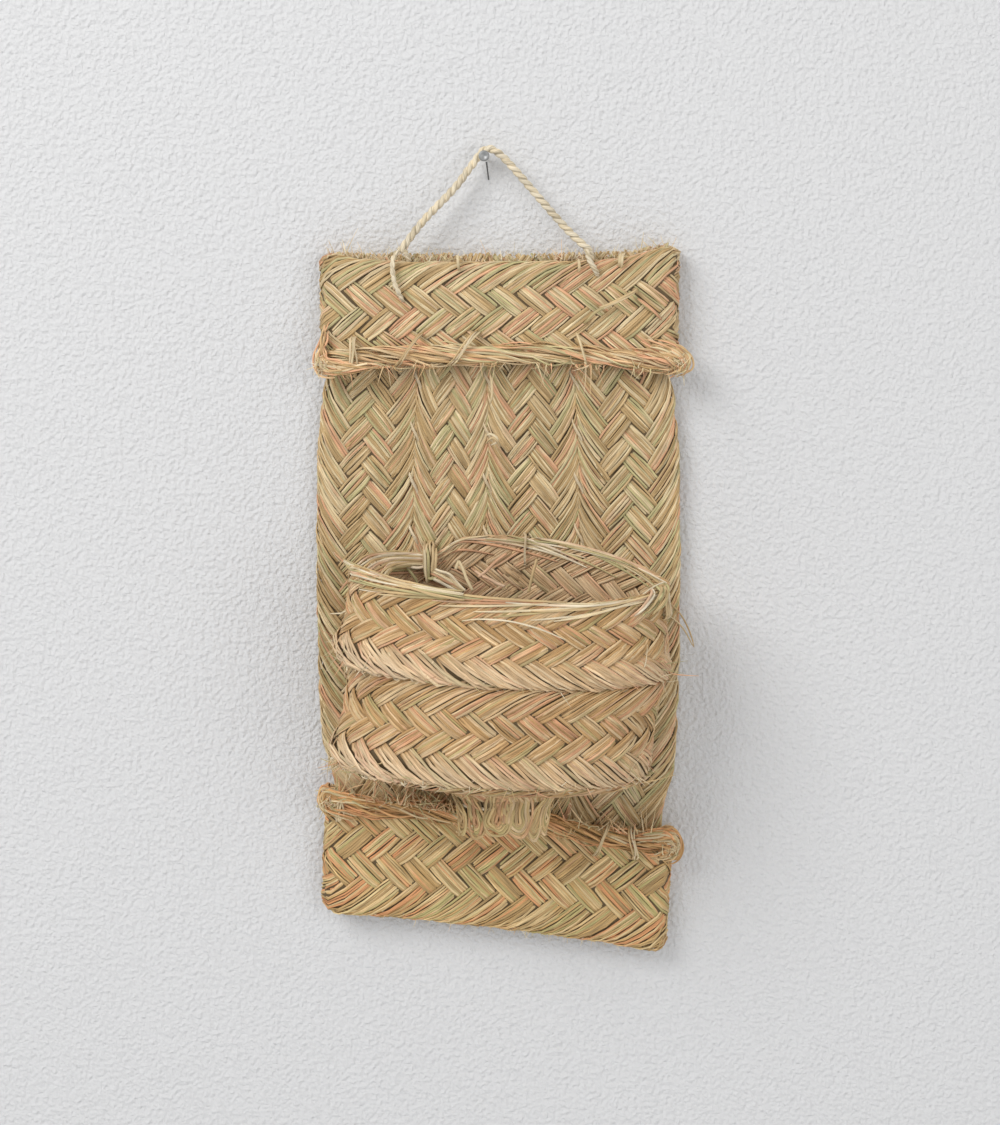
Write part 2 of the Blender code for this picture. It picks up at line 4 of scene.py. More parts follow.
import bpy
import numpy as np
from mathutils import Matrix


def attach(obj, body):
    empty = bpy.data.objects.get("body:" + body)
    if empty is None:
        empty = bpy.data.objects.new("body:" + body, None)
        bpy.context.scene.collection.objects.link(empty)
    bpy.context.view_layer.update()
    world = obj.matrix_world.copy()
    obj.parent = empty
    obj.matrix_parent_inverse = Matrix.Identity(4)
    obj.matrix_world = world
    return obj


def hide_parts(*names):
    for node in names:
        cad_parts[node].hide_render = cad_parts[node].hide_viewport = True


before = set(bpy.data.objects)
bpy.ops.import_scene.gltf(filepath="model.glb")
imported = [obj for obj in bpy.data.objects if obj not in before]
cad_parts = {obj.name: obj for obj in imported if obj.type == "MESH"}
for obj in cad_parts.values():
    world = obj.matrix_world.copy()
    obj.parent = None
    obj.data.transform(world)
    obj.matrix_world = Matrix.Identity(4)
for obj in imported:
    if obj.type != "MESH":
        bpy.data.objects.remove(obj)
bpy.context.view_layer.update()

# Camera
# A level-headed view from nine degrees above the basket's middle, at the distance and with the lens
# that give the photograph's framing.
CAMERA_AIM = (0.00848, 0.0, -0.21818)
CAMERA_DISTANCE = 1.25
CAMERA_RISE = np.radians(9.0)
CAMERA_LENS = 73.4


def add_object(name, data):
    """A new object in the scene."""
    made = bpy.data.objects.new(name, data)
    bpy.context.scene.collection.objects.link(made)
    return made


optics = bpy.data.cameras.new("camera")
optics.lens = CAMERA_LENS
optics.sensor_width = 36.0
optics.clip_start = 0.01
camera = add_object("camera", optics)
camera.location = (CAMERA_AIM[0], -CAMERA_DISTANCE * np.cos(CAMERA_RISE),
                   CAMERA_AIM[2] + CAMERA_DISTANCE * np.sin(CAMERA_RISE))
camera.rotation_euler = (np.pi / 2 - CAMERA_RISE, 0.0, 0.0)
bpy.context.scene.camera = camera

# Hanging cord
# Two plies of pale grass fibre twisted into a cord about 4.4 mm thick. It runs from the left eye on the
# top band, over the nail, and back down to the right eye.
CORD_RADIUS = 0.0022
PLY_RADIUS = 0.00122
CORD_TWIST = 0.0092
CORD_FOOT_Z = -0.04974
CORD_FOOT_Y = -0.0066
LEFT_EYE_X = -0.0445
RIGHT_EYE_X = 0.0562
CORD_ROUTE = ((-0.0322, -0.0340), (-0.0158, -0.0170), (-0.0062, -0.0045), (0.0010, 0.0036),
              (0.0080, 0.0012), (0.0160, -0.0068), (0.0278, -0.0203), (0.0441, -0.0385))
GRASS_ROUGHNESS = 0.62
GRASS_GRAIN = 0.35
UP = np.array((0.0, 0.0, 1.0))
RIGHT = np.array((1.0, 0.0, 0.0))
FORWARD = np.array((0.0, -1.0, 0.0))


def unit(vectors):
    """The vectors along the last axis, each divided by its own length."""
    return vectors / np.maximum(np.linalg.norm(vectors, axis=-1, keepdims=True), 1e-12)


def distances(line):
    """How far along its line each point lies, for one line or a stack of them."""
    steps = np.linalg.norm(np.diff(line, axis=-2), axis=-1)
    return np.concatenate([np.zeros_like(steps[..., :1]), np.cumsum(steps, axis=-1)], axis=-1)


def even(line, count):
    """A line of straight pieces, read at places that are evenly far apart."""
    far = distances(line)
    at = np.linspace(0.0, far[-1], count)
    return np.stack([np.interp(at, far, values) for values in line.T], axis=1)


def smooth_line(points, count):
    """A Catmull-Rom curve through the points, read at places that are evenly far apart."""
    points = np.asarray(points, float)
    held = np.concatenate([[2 * points[0] - points[1]], points, [2 * points[-1] - points[-2]]])
    t = np.linspace(0.0, 1.0, 12, endpoint=False)[None, :, None]
    a, b, c, d = (held[i:len(held) - 3 + i, None] for i in range(4))
    fine = 0.5 * (2 * b + (c - a) * t + (2 * a - 5 * b + 4 * c - d) * t**2
                  + (3 * b - a - 3 * c + d) * t**3)
    return even(np.concatenate([fine.reshape(-1, points.shape[1]), points[-1:]]), count)


def dress(piece, nodes=(), body="woven_body"):
    """Lets a piece move with a body, for the solids that it stands for."""
    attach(piece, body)
    if nodes:
        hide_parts(*nodes)


def blades(name, line, face, wide, thick, tone, finish, nodes=(), sides=6, bleach_and_painted_light=None,
           body="woven_body"):
    """Many grass blades as one mesh. Round each point of each line lies an ellipse, wide across the
    face direction and thick along it, and neighbouring ellipses are joined by strips of quads. The
    shapes are line (blades, points, 3), face the same, and wide, thick (blades, points) in metres.
    The attribute called blade holds the distance along, the tone, and the place across from -1 to 1.
    The bleach and painted light, (blades, points), are kept in an attribute of their own."""
    count, points = line.shape[:2]
    run = unit(np.gradient(line, axis=1))
    across = unit(np.cross(run, face))
    over = np.cross(across, run)
    turn = 2 * np.pi * (np.arange(sides) + 0.5) / sides
    wide, thick = (np.broadcast_to(size, (count, points))[..., None] for size in (wide, thick))
    ring = (line[:, :, None]
            + (wide * np.cos(turn))[..., None] * across[:, :, None]
            + (thick * np.sin(turn))[..., None] * over[:, :, None])
    marks = np.empty(ring.shape)
    marks[..., 0] = distances(line)[..., None]
    marks[..., 1] = np.broadcast_to(tone, count)[:, None, None]
    marks[..., 2] = np.cos(turn)
    index = np.arange(count * points * sides).reshape(count, points, sides)
    after = np.roll(index, -1, axis=2)
    quads = np.stack([index[:, :-1], index[:, 1:], after[:, 1:], after[:, :-1]], axis=-1)
    loops = np.concatenate([quads.ravel(), index[:, 0].ravel(), index[:, -1, ::-1].ravel()])
    sizes = np.concatenate([np.full(quads.size // 4, 4), np.full(2 * count, sides)])
    mesh = bpy.data.meshes.new(name)
    mesh.vertices.add(index.size)
    mesh.vertices.foreach_set("co", ring.ravel())
    mesh.loops.add(loops.size)
    mesh.loops.foreach_set("vertex_index", loops)
    mesh.polygons.add(sizes.size)
    mesh.polygons.foreach_set("loop_start", np.cumsum(sizes) - sizes)
    mesh.polygons.foreach_set("loop_total", sizes)
    mesh.polygons.foreach_set("use_smooth", np.ones(sizes.size, bool))
    mesh.attributes.new("blade", "FLOAT_VECTOR", "POINT").data.foreach_set("vector", marks.ravel())
    if bleach_and_painted_light is not None:
        mesh.attributes.new("bleach_and_painted_light", "FLOAT", "POINT").data.foreach_set("value", bleach_and_painted_light.repeat(sides))
    mesh.update()
    mesh.validate()
    mesh.materials.append(finish)
    made = add_object(name, mesh)
    dress(made, nodes, body)
    return made


def wire(node, inputs):
    """Gives each named input of a shader node its value, or a link from another node's output."""
    for key, value in inputs.items():
        if isinstance(value, bpy.types.NodeSocket):
            node.id_data.links.new(value, node.inputs[key])
        else:
            node.inputs[key].default_value = value


def add_node(tree, kind, x, y, inputs, **settings):
    """A shader node at a place in the editor, with its settings and inputs."""
    node = tree.nodes.new("ShaderNode" + kind)
    node.location = (x, y)
    for key, value in settings.items():
        setattr(node, key, value)
    wire(node, inputs)
    return node


def new_material(name, inputs):
    """A material, the tree of its nodes, and its shader with some inputs set."""
    material = bpy.data.materials.new(name)
    material.use_nodes = True
    shader = material.node_tree.nodes["Principled BSDF"]
    wire(shader, inputs)
    return material, material.node_tree, shader


def noise(tree, x, y, vector, scale, detail):
    """The output of a noise texture that is read at a vector."""
    made = add_node(tree, "TexNoise", x, y, {"Vector": vector, "Scale": scale, "Detail": detail})
    return made.outputs["Fac"]


def grass_finish(name, tones, bleach_and_light_colour=None):
    """Dry grass. Each blade takes a colour from the list of (share, colour) by its tone and its place,
    then fades and darkens along its length, and has fine ribs along it. A pale colour, where there is
    one, comes in by the bleach attribute, which carries real bleaching and painted light."""
    material, tree, shader = new_material(name, {"Roughness": GRASS_ROUGHNESS,
                                                 "Specular IOR Level": 0.35})

    def math(operation, x, y, *values):
        inputs = dict(enumerate(values))
        return add_node(tree, "Math", x, y, inputs, operation=operation).outputs[0]

    def mapped(x, y, value, low, high, least, most):
        inputs = {"Value": value, "From Min": low, "From Max": high, "To Min": least, "To Max": most}
        return add_node(tree, "MapRange", x, y, inputs).outputs[0]

    def vector(x, y, *values):
        return add_node(tree, "CombineXYZ", x, y, dict(enumerate(values))).outputs[0]

    def scaled(x, y, colour, by):
        inputs = {0: colour, "Scale": by}
        return add_node(tree, "VectorMath", x, y, inputs, operation="SCALE").outputs[0]

    mark = add_node(tree, "Attribute", -1500, 0, {}, attribute_name="blade").outputs["Vector"]
    far, tone, across = add_node(tree, "SeparateXYZ", -1320, 0, {0: mark}).outputs
    spot = add_node(tree, "TexCoord", -1500, 500, {}).outputs["Object"]
    patch = math("MULTIPLY_ADD", -1300, 350, noise(tree, -1300, 500, spot, 34.0, 2.0), 0.5, -0.25)
    ramp = add_node(tree, "ValToRGB", -900, 300, {0: math("ADD", -1120, 300, tone, patch)})
    stops = ramp.color_ramp.elements
    shares = np.cumsum([0.0] + [share for share, _ in tones])
    shares /= shares[-1]
    for position, (_, stop_colour) in zip((shares[:-1] + shares[1:]) / 2, tones, strict=True):
        stops.new(position).color = (*stop_colour, 1.0)
    stops.remove(stops[0])
    stops.remove(stops[-1])
    colour = ramp.outputs["Color"]
    if bleach_and_light_colour:
        bleach_and_light_share = add_node(tree, "Attribute", -900, 550, {}, attribute_name="bleach_and_painted_light").outputs["Fac"]
        inputs = {"Factor": bleach_and_light_share, "A": colour, "B": (*bleach_and_light_colour, 1.0)}
        colour = add_node(tree, "Mix", -600, 400, inputs, data_type="RGBA").outputs["Result"]
    stretch = math("MULTIPLY", -1300, -200, far, 45.0)
    spread = math("MULTIPLY", -1300, -350, tone, 300.0)
    tone_shift = noise(tree, -900, -50, vector(-1120, -150, stretch, spread), 1.0, 3.0)
    ribs = vector(-1120, -500, math("MULTIPLY", -1300, -500, across, 3.0), spread, stretch)
    rib = noise(tree, -900, -450, ribs, 1.6, 2.0)
    colour = scaled(-450, 250, colour, mapped(-700, -50, tone_shift, 0.3, 0.7, 0.76, 1.18))
    grain = mapped(-700, -400, rib, 0.35, 0.65, 1.0 - GRASS_GRAIN, 1.0 + GRASS_GRAIN / 2)
    bump = add_node(tree, "Bump", -250, -300, {"Strength": 0.35, "Distance": 0.0002, "Height": rib})
    wire(shader, {"Base Color": scaled(-250, 250, colour, grain), "Normal": bump.outputs[0]})
    return material


cord_finish = grass_finish("cord_grass", [
    (2, (0.74, 0.65, 0.49)), (1, (0.62, 0.51, 0.33)), (2, (0.76, 0.66, 0.49))])

cord_foot = [(LEFT_EYE_X, CORD_FOOT_Z), *CORD_ROUTE, (RIGHT_EYE_X, CORD_FOOT_Z)]
cord_line = smooth_line([(x, CORD_FOOT_Y * max(z / CORD_FOOT_Z, 0.0), z) for x, z in cord_foot], 40)


def sides_of(line):
    """The directions to the side of a line and behind it, at each of its points."""
    run = unit(np.gradient(line, axis=0))
    side = unit(np.cross(run, -FORWARD))
    return side, np.cross(side, run)


def outward(angle, side, back):
    """The direction at an angle from side, towards back."""
    return np.cos(angle)[..., None] * side + np.sin(angle)[..., None] * back


def twisted(line, radius, twist, plies):
    """Each ply's line round a cord's line: it turns once in every twist of length, at a radius."""
    fine = smooth_line(line, int(distances(line)[-1] / twist * 12) + 1)
    angle = 2 * np.pi * (distances(fine) / twist + np.arange(plies)[:, None] / plies)
    out = outward(angle, *sides_of(fine))
    return fine + radius * out, out


ply_line, ply_out = twisted(cord_line, CORD_RADIUS - PLY_RADIUS, CORD_TWIST, 2)
cord = blades("hanging_cord_twist", ply_line, ply_out, PLY_RADIUS * 1.12, PLY_RADIUS,
              (0.2, 0.7), cord_finish, ("hanging_cord",), sides=10, body="hanging_loop")
float(distances(cord_line)[-1])

# Upright plaits
# Four flat braids of esparto grass stand side by side. Each has eleven strands of eight blades, which
# cross it on a slant, fold round its edges, and pass over or under two or three strands at a time.
STRANDS = 11
PANEL_PITCH = 0.0142
PANEL_TOP_Z = -0.0554
PANEL_HEIGHT = 0.3676
PANEL_TOP_STAND = 0.0045
PANEL_FOOT_STAND = 0.0015
PANEL_LENGTH = PANEL_HEIGHT + PANEL_TOP_STAND + PANEL_FOOT_STAND
PANEL_CENTRE_X = 0.0077
PANEL_Y = 0.0013
STRIP_WIDTHS = (0.0521, 0.0404, 0.0500, 0.0548)
FITTED_SHARE = 0.9144
PANEL_WIDTH_SHARES = ((0.00, 0.00), (0.165, 0.00), (0.21, 0.48), (0.30, 0.85), (0.44, 1.00),
                      (0.56, 1.00), (0.66, 0.93), (0.735, 0.72), (0.775, 0.20), (0.80, 0.00),
                      (1.00, 0.00))
BLADE_WIDE = 0.00075
BLADE_THICK = 0.00037
PLAIT_RISE = 0.00125
PILE_RISE = 0.00034
TUFT_RISE = 0.0019
TUFT_WANDER = 0.0016
TUFT_BLEACH = 0.55
DIVE_BUNCH = 0.16
TUFT_BUNCH = 0.12
POINTS_PER_CROSSING = 17
SHADE_SHEET_THICK = 0.0004
STRAW = (0.575, 0.405, 0.205)
DEEP_STRAW = (0.46, 0.31, 0.14)
GREEN = (0.50, 0.44, 0.22)
PALE = (0.74, 0.60, 0.37)
PINK = (0.66, 0.37, 0.21)
# The centre and the half width of each band.
TOP_BAND = (0.0083, 0.0975)
FOOT_BAND = (0.0067, 0.0965)


def across_band(centre_x, half_width, middle, *factors):
    """A level that varies across a band: the middle's level, and a polynomial of the share of the half
    width, from -1 at the left end to 1 at the right."""
    def level(x):
        share = np.clip((x - centre_x) / half_width, -1.0, 1.0)
        return middle + sum(factor * share**power for power, factor in enumerate(factors, 1))
    return level


def wander(rng, shape, along, waves, size):
    """A slow sideways drift for each line: a few sine waves of random phase and a random share each."""
    drift = np.zeros(np.broadcast_shapes(shape + (1,), along.shape))
    for wave in waves:
        phase = rng.uniform(0.0, 2 * np.pi, shape + (1,))
        drift = drift + rng.normal(0.0, 0.6, shape + (1,)) * np.sin(2 * np.pi * along / wave + phase)
    return size * drift


def plait(node, place, length, width, pitch, count, finish, seed, lean=1, ease=0.0, shift=0.0,
          ragged=0.0, side=-1, margin=0.0006, lip=None, tone_shift=None, bend=0.94):
    """A flat braid laid on a surface, for one solid. Strand k is at the braid's edge at k pitches
    along and crosses to the other edge in half a round, on a triangle wave. A bend below 1 rounds its
    turns, and ease makes it steeper in the middle. Its height is the product of tanh steps at the zone
    borders, so it lies over the others in one zone and under them in the next. A blade's offset within
    its strand shifts its borders too, so a strand ends on the slant of the one that covers it, and the
    blades bunch where they dive. Ragged is how far the ends vary, inwards, or outwards where it is
    negative, so that a closed braid's ends overlap. The place function turns distance along and share
    across into points. The lip function gives, at a distance along, how far the blades at the lower
    edge draw together into separate tufts, stand proud and hang out of line. Another function gives how
    far all blades turn towards the pale colour, which on the pocket is painted light on its back wall."""
    rng = np.random.default_rng(seed)
    half = STRANDS * pitch / 2
    borders = np.array((3.5, 5.5, 7.5)) / STRANDS
    soft = 0.34 / STRANDS
    total = STRANDS * count
    strand = np.repeat(np.arange(STRANDS) * pitch + shift, count)[:, None]
    offset = np.tile(np.arange(count) - (count - 1) / 2, STRANDS) * 0.96 * pitch / count
    offset = (offset + rng.normal(0.0, 0.17, total) * pitch / count)[:, None]
    begin = ragged * rng.uniform(0.0, 1.0, (total, 1))
    end = length - ragged * rng.uniform(0.0, 1.0, (total, 1))
    edge = np.concatenate([[0.0], borders, [1.0], 2 - borders[::-1], [2.0]])
    table = np.linspace(0.0, 2.0, 801)
    dense = 1 + 2.2 * np.exp(-((table[:, None] - edge) / (1.4 * soft))**2).sum(axis=1)
    summed = np.concatenate([[0.0], np.cumsum((dense[1:] + dense[:-1]) / 2)])
    summed *= 2.0 / summed[-1]
    lap = 2.0 * np.arange(-3, int(length / half / 2) + 3)[:, None]
    long_table = (lap + table[:-1]).ravel()
    long_sum = (lap + summed[:-1]).ravel()
    first = np.interp((begin - strand - offset) / half, long_table, long_sum)
    last = np.interp((end - strand - offset) / half, long_table, long_sum)
    run = np.linspace(0.0, 1.0, int(length / half * POINTS_PER_CROSSING))
    s = np.interp(first + (last - first) * run, long_sum, long_table)
    u = np.mod(s, 2.0)
    slant = offset / (2 * half)
    steps = [u, u - 1.0, u - 2.0]
    steps += [u - (b - slant) for b in borders] + [u - (2.0 - b - slant) for b in borders]
    height = -lean * np.prod([np.tanh(step / soft) for step in steps], axis=0)
    least = 0.5 - np.arcsin(bend) / np.pi
    wave = (0.5 - np.arcsin(bend * np.cos(np.pi * s)) / np.pi - least) / (1 - 2 * least)
    across = wave - ease * np.sin(2 * np.pi * wave) / (2 * np.pi)
    spot = s * half + strand + offset
    tuft = np.zeros_like(s)
    if lip:
        lower = np.clip((across - 0.66) / 0.26, 0.0, 1.0)
        tuft = lip(spot) * lower * np.clip(height, 0.0, 1.0)
    bleach_and_painted_light = TUFT_BLEACH * np.sqrt(tuft)
    # Tufts are bleached; the function below adds painted light where the pocket uses it.
    if tone_shift:
        bleach_and_painted_light = np.maximum(bleach_and_painted_light, tone_shift(spot))

    def drift(waves, size):
        return wander(rng, (total,), s * half, waves, size)

    along = s * half + strand + offset * (1.0 - DIVE_BUNCH * (1.0 - np.abs(height)) - TUFT_BUNCH * tuft)
    along = along + drift((0.031, 0.047), 0.00024)
    reach = margin + 0.0005 * np.clip(rng.normal(0.0, 1.0, (total, 1)), -1.2, 1.6)
    across = (reach + (width - 2 * reach) * across) / width
    across = across + drift((0.027, 0.053), 0.00018) / width
    across = across + tuft * drift((0.037, 0.061), TUFT_WANDER) / width
    fold = np.tanh(u / 0.05) * np.tanh((1 - u) / 0.05) * np.tanh((2 - u) / 0.05)
    lift = height * PLAIT_RISE + rng.uniform(-1.0, 1.0, (total, 1)) * PILE_RISE * np.abs(height)
    lift = lift + TUFT_RISE * tuft * rng.uniform(0.4, 1.5, (total, 1))
    lift = lift + drift((0.023, 0.037), 0.00012)
    small = 1e-4
    down = unit(place(along, across + small) - place(along, across - small))
    ahead = place(along + small * width, across) - place(along - small * width, across)
    out = side * unit(np.cross(ahead, down))
    face = fold[..., None] * out - np.sqrt(np.maximum(1 - fold**2, 0.0))[..., None] * down
    tone = 0.78 * rng.uniform(0, 1, total) + 0.22 * np.repeat(rng.uniform(0, 1, STRANDS), count)
    tone = (np.argsort(np.argsort(tone)) + rng.uniform(0, 1, total)) / total
    wide = BLADE_WIDE * rng.uniform(0.75, 1.2, (total, 1)) * (1 + 0.4 * tuft)
    thick = BLADE_THICK * rng.uniform(0.85, 1.2, (total, 1))
    blades(f"{node}_blades", place(along, across) + lift[..., None] * out, face, wide, thick, tone,
           finish, (node,), bleach_and_painted_light=bleach_and_painted_light)


def shade_sheet(name, place, start, length, margin, steps, thick=SHADE_SHEET_THICK):
    """A dark sheet of painted shade between a braid's two faces: a grid on the same surface, made solid.
    """
    along, across = np.meshgrid(np.linspace(start, length, steps), np.linspace(margin, 1 - margin, 16),
                                indexing="ij")
    index = np.arange(along.size).reshape(along.shape)
    faces = np.stack([index[:-1, :-1], index[1:, :-1], index[1:, 1:], index[:-1, 1:]], axis=-1)
    mesh = bpy.data.meshes.new(name)
    mesh.from_pydata(place(along, across).reshape(-1, 3), [], faces.reshape(-1, 4))
    mesh.materials.append(shade_sheet_finish)
    piece = add_object(name, mesh)
    solid = piece.modifiers.new("thickness", "SOLIDIFY")
    solid.thickness = thick
    solid.offset = 0.0
    dress(piece)


def on_panel(left, right):
    """Points of an upright plait: down it from its top, and across it from its left edge."""
    def place(along, across):
        share = along / PANEL_LENGTH
        squeeze = np.interp(share, *np.transpose(PANEL_WIDTH_SHARES))
        squeeze = FITTED_SHARE + (1 - FITTED_SHARE) * squeeze
        x = PANEL_CENTRE_X + (left + (right - left) * across) * squeeze
        high = top_edge(x) + PANEL_TOP_STAND
        z = high + share * (foot_edge(x) - PANEL_FOOT_STAND - high)
        return np.stack([x, np.full_like(x, PANEL_Y), z], axis=-1)
    return place


# The top band's upper edge rises at both ends, and the foot band's lower edge slopes down to the right.
top_edge = across_band(*TOP_BAND, PANEL_TOP_Z, 0.0, 0.0, 0.0027, 0.0042)
foot_edge = across_band(*FOOT_BAND, PANEL_TOP_Z - PANEL_HEIGHT, -0.0120, -0.0030)
# The sheets between braid faces are coloured dark as painted shade.
shade_sheet_finish = grass_finish("shade_sheet_grass", [(1, (0.13, 0.088, 0.042)), (1, (0.20, 0.14, 0.07))])
panel_finish = grass_finish("panel_grass", [
    (1.6, GREEN), (1.2, PALE), (3.2, STRAW), (1.0, DEEP_STRAW), (3.0, STRAW), (0.8, PALE), (1.4, PINK)])
strip_edges = np.cumsum((0.0, *STRIP_WIDTHS)) - sum(STRIP_WIDTHS) / 2
for number, (left, right) in enumerate(zip(strip_edges[:-1], strip_edges[1:], strict=True), 1):
    place = on_panel(left, right)
    plait(f"upright_plait_{number}", place, PANEL_LENGTH, right - left, PANEL_PITCH, 8,
          panel_finish, seed=10 + number, lean=-1, ease=0.12, shift=0.003 * number, ragged=0.0035,
          side=1, margin=0.0)
    # A dark sheet of painted shade lies between the plait's faces.
    shade_sheet(f"upright_plait_{number}_pith", place, 0.011, PANEL_LENGTH - 0.008, 0.035, 60)

# Seam cords of the panel
# A single blade laces each pair of upright plaits together, round and round through their edges.
SEAM_TURN = 0.0280
SEAM_REACH = 0.0026
SEAM_WIDE = 0.0009
SEAM_THICK = 0.0006
CREAM = (0.80, 0.70, 0.52)


def lacing(name, line, side, reach, forward, depth, turn, wide, thick, node):
    """A blade wound along a seam: a flattened helix, reach wide along side and depth deep along
    forward, that turns once in every turn of length."""
    fine = smooth_line(line, int(distances(line)[-1] / turn * 10))
    angle = 2 * np.pi * distances(fine)[:, None] / turn
    wound = fine + reach * np.sin(angle) * side + depth * np.cos(angle) * forward
    face = unit(np.sin(angle) * side + np.cos(angle) * forward) if depth else side + 0 * wound
    blades(name, wound[None], face[None], wide, thick, 0.5, tie_finish, (node,))


tie_finish = grass_finish("tie_grass", [(1, PALE), (2, STRAW), (2, CREAM), (1, STRAW)])
down_panel = np.linspace(0.012, PANEL_LENGTH - 0.006, 40)
for number, edge in enumerate(strip_edges[1:-1], 1):
    lacing(f"panel_seam_lacing_{number}", on_panel(edge, edge)(down_panel, np.zeros(40)), RIGHT,
           SEAM_REACH, FORWARD, SEAM_REACH, SEAM_TURN, SEAM_WIDE, SEAM_THICK,
           f"panel_seam_cord_{number}")

# Bands
# A plait folded flat round the panel at its top and another at its foot, each closed behind it.
SLEEVE_RADIUS = 0.0066
HALF_THICK = 0.0025
TOP_BAND_DEPTH = 0.0530
FOOT_BAND_DEPTH = 0.0655
FOOT_BAND_SPREAD = 0.0030
BAND_PAST_CORD = 0.0040
BAND_CORNER = 0.0120
BAND_PITCHES = 26
TOP_CORD_DROP = 0.0488
FOOT_CORD_RISE = 0.0618
FOOT_PALE = (0.74, 0.56, 0.30)
FOOT_STRAW = (0.58, 0.375, 0.155)


def on_sleeve(centre_x, half_width, upper, lower, spread=0.0):
    """Points of a band: round it from the middle of its rear, and down it from its upper edge. The
    left end leans out below and the right end above, by the spread."""
    straight = half_width - HALF_THICK - SLEEVE_RADIUS
    bend = np.linspace(-np.pi / 2, np.pi / 2, 25)
    right = np.stack([straight + SLEEVE_RADIUS * np.cos(bend), SLEEVE_RADIUS * np.sin(bend)], axis=1)
    plan = np.concatenate([[(0.0, -SLEEVE_RADIUS)], right, -right, [(0.0, -SLEEVE_RADIUS)]])
    far = distances(plan)

    def place(along, across):
        at = np.mod(along + far[-1] / 2, far[-1])
        x = centre_x + np.interp(at, far, plan[:, 0])
        share = (x - centre_x) / half_width
        corner = BAND_CORNER * np.clip((np.abs(share) - 0.88) / 0.12, 0.0, 1.0)**3
        high = upper(x) - corner
        low = lower(x) + corner
        x = x - spread * across * np.clip(-share, 0, 1)**4
        x = x + spread * (1 - across) * np.clip(share, 0, 1)**4
        return np.stack([x, np.interp(at, far, plan[:, 1]), high + across * (low - high)], axis=-1)
    return place, far[-1]


def band(node, sleeve, deep, count, finish, seed, lean, bend):
    """A band's braid, a whole number of pitches long, and the dark sheet of painted shade in it."""
    place, length = sleeve
    plait(node, place, length, deep, length / BAND_PITCHES, count, finish, seed, lean,
          bend=bend)
    shade_sheet(f"{node}_pith", place, 0.0, length, 0.05, 140)


band_finish = grass_finish("band_grass", [
    (1.5, GREEN), (1.0, PALE), (3.0, STRAW), (0.8, DEEP_STRAW), (2.6, STRAW), (0.8, PALE), (2.4, PINK)])
# The top band's edge cord hangs lower at its ends, and the foot band's slopes down to the right.
top_cord_level = across_band(*TOP_BAND, PANEL_TOP_Z - TOP_CORD_DROP, 0.0, -0.0045)
foot_cord_level = across_band(*FOOT_BAND, PANEL_TOP_Z - PANEL_HEIGHT + FOOT_CORD_RISE, -0.0128, 0.0010)
top_band_edge = across_band(*TOP_BAND, PANEL_TOP_Z, 0.0, 0.0, 0.0027, 0.0097)
band("top_band", on_sleeve(*TOP_BAND, top_band_edge, lambda x: top_cord_level(x) - BAND_PAST_CORD),
     TOP_BAND_DEPTH, 8, band_finish, 31, 1, 0.88)
foot_finish = grass_finish("foot_grass", [
    (1.6, (0.50, 0.42, 0.18)), (1.0, FOOT_PALE), (3.0, FOOT_STRAW), (0.8, DEEP_STRAW),
    (2.6, FOOT_STRAW), (0.6, FOOT_PALE), (2.6, (0.68, 0.335, 0.15))])
band("foot_band", on_sleeve(*FOOT_BAND, lambda x: foot_cord_level(x) + BAND_PAST_CORD, foot_edge,
                            FOOT_BAND_SPREAD), FOOT_BAND_DEPTH, 9, foot_finish, 32, -1, 0.92)

# Edge cords
# A loose, barely twisted hank of grass lies along each band's inner edge. It runs over the front and
# is tucked behind both sides, and short ties whip it to the band.
HANK_RADIUS = 0.0042
EDGE_CORD_PROUD = 0.0020
HANK_SHIFT = 0.0014
HANK_INSET = 0.0020
HANK_TAIL = 0.0060
HANK_BLADES = 46
HANK_WIDE = 0.00070
HANK_FLAT = 1.4
HANK_STEP = 0.0035
FAN_POINTS = 40


def hank(name, node, line, twist, finish, seed, girths):
    """A bundle of blades wound round a line. Each keeps its own distance from the middle, between half
    of the radius and all of it, turns once in every twist of length, and drifts a little. Girths give
    the bundle's size at shares of its length, and it is stretched upwards."""
    rng = np.random.default_rng(seed)
    fine = smooth_line(line, int(distances(line)[-1] / HANK_STEP))
    side, back = sides_of(fine)
    far = distances(fine)
    fine = fine + wander(rng, (), far, (0.071, 0.113), 0.0007)[..., None] * side
    layer = HANK_RADIUS * np.sqrt(rng.uniform(0.25, 1.0, (HANK_BLADES, 1)))
    layer = layer * np.interp(far / far[-1], *np.transpose(girths))
    layer = layer + wander(rng, (HANK_BLADES,), far[None], (0.029, 0.053), 0.0009)
    start = np.arange(HANK_BLADES) * 0.618 + rng.uniform(0, 0.3, HANK_BLADES)
    angle = 2 * np.pi * (start[:, None] + far / twist)
    angle = angle + wander(rng, (HANK_BLADES,), far[None], (0.041, 0.067), 0.16)
    out = outward(angle, side, back)
    path = fine + layer[..., None] * (out + (HANK_FLAT - 1) * np.cos(angle)[..., None] * side)
    ends = 0.003 * rng.uniform(-1.0, 0.6, (2, HANK_BLADES, 1))
    path[:, 0] -= ends[0] * unit(path[:, 1] - path[:, 0])
    path[:, -1] += ends[1] * unit(path[:, -1] - path[:, -2])
    wide = HANK_WIDE * rng.uniform(0.7, 1.25, (HANK_BLADES, 1))
    blades(name, path, out, wide, BLADE_THICK, rng.uniform(0, 1, HANK_BLADES), finish,
           (node,))


def metres(routes):
    """Routes in metres, from x, y, z of each point in turn in tenths of a millimetre."""
    return [np.reshape(route, (-1, 3)) / 10000 for route in routes]


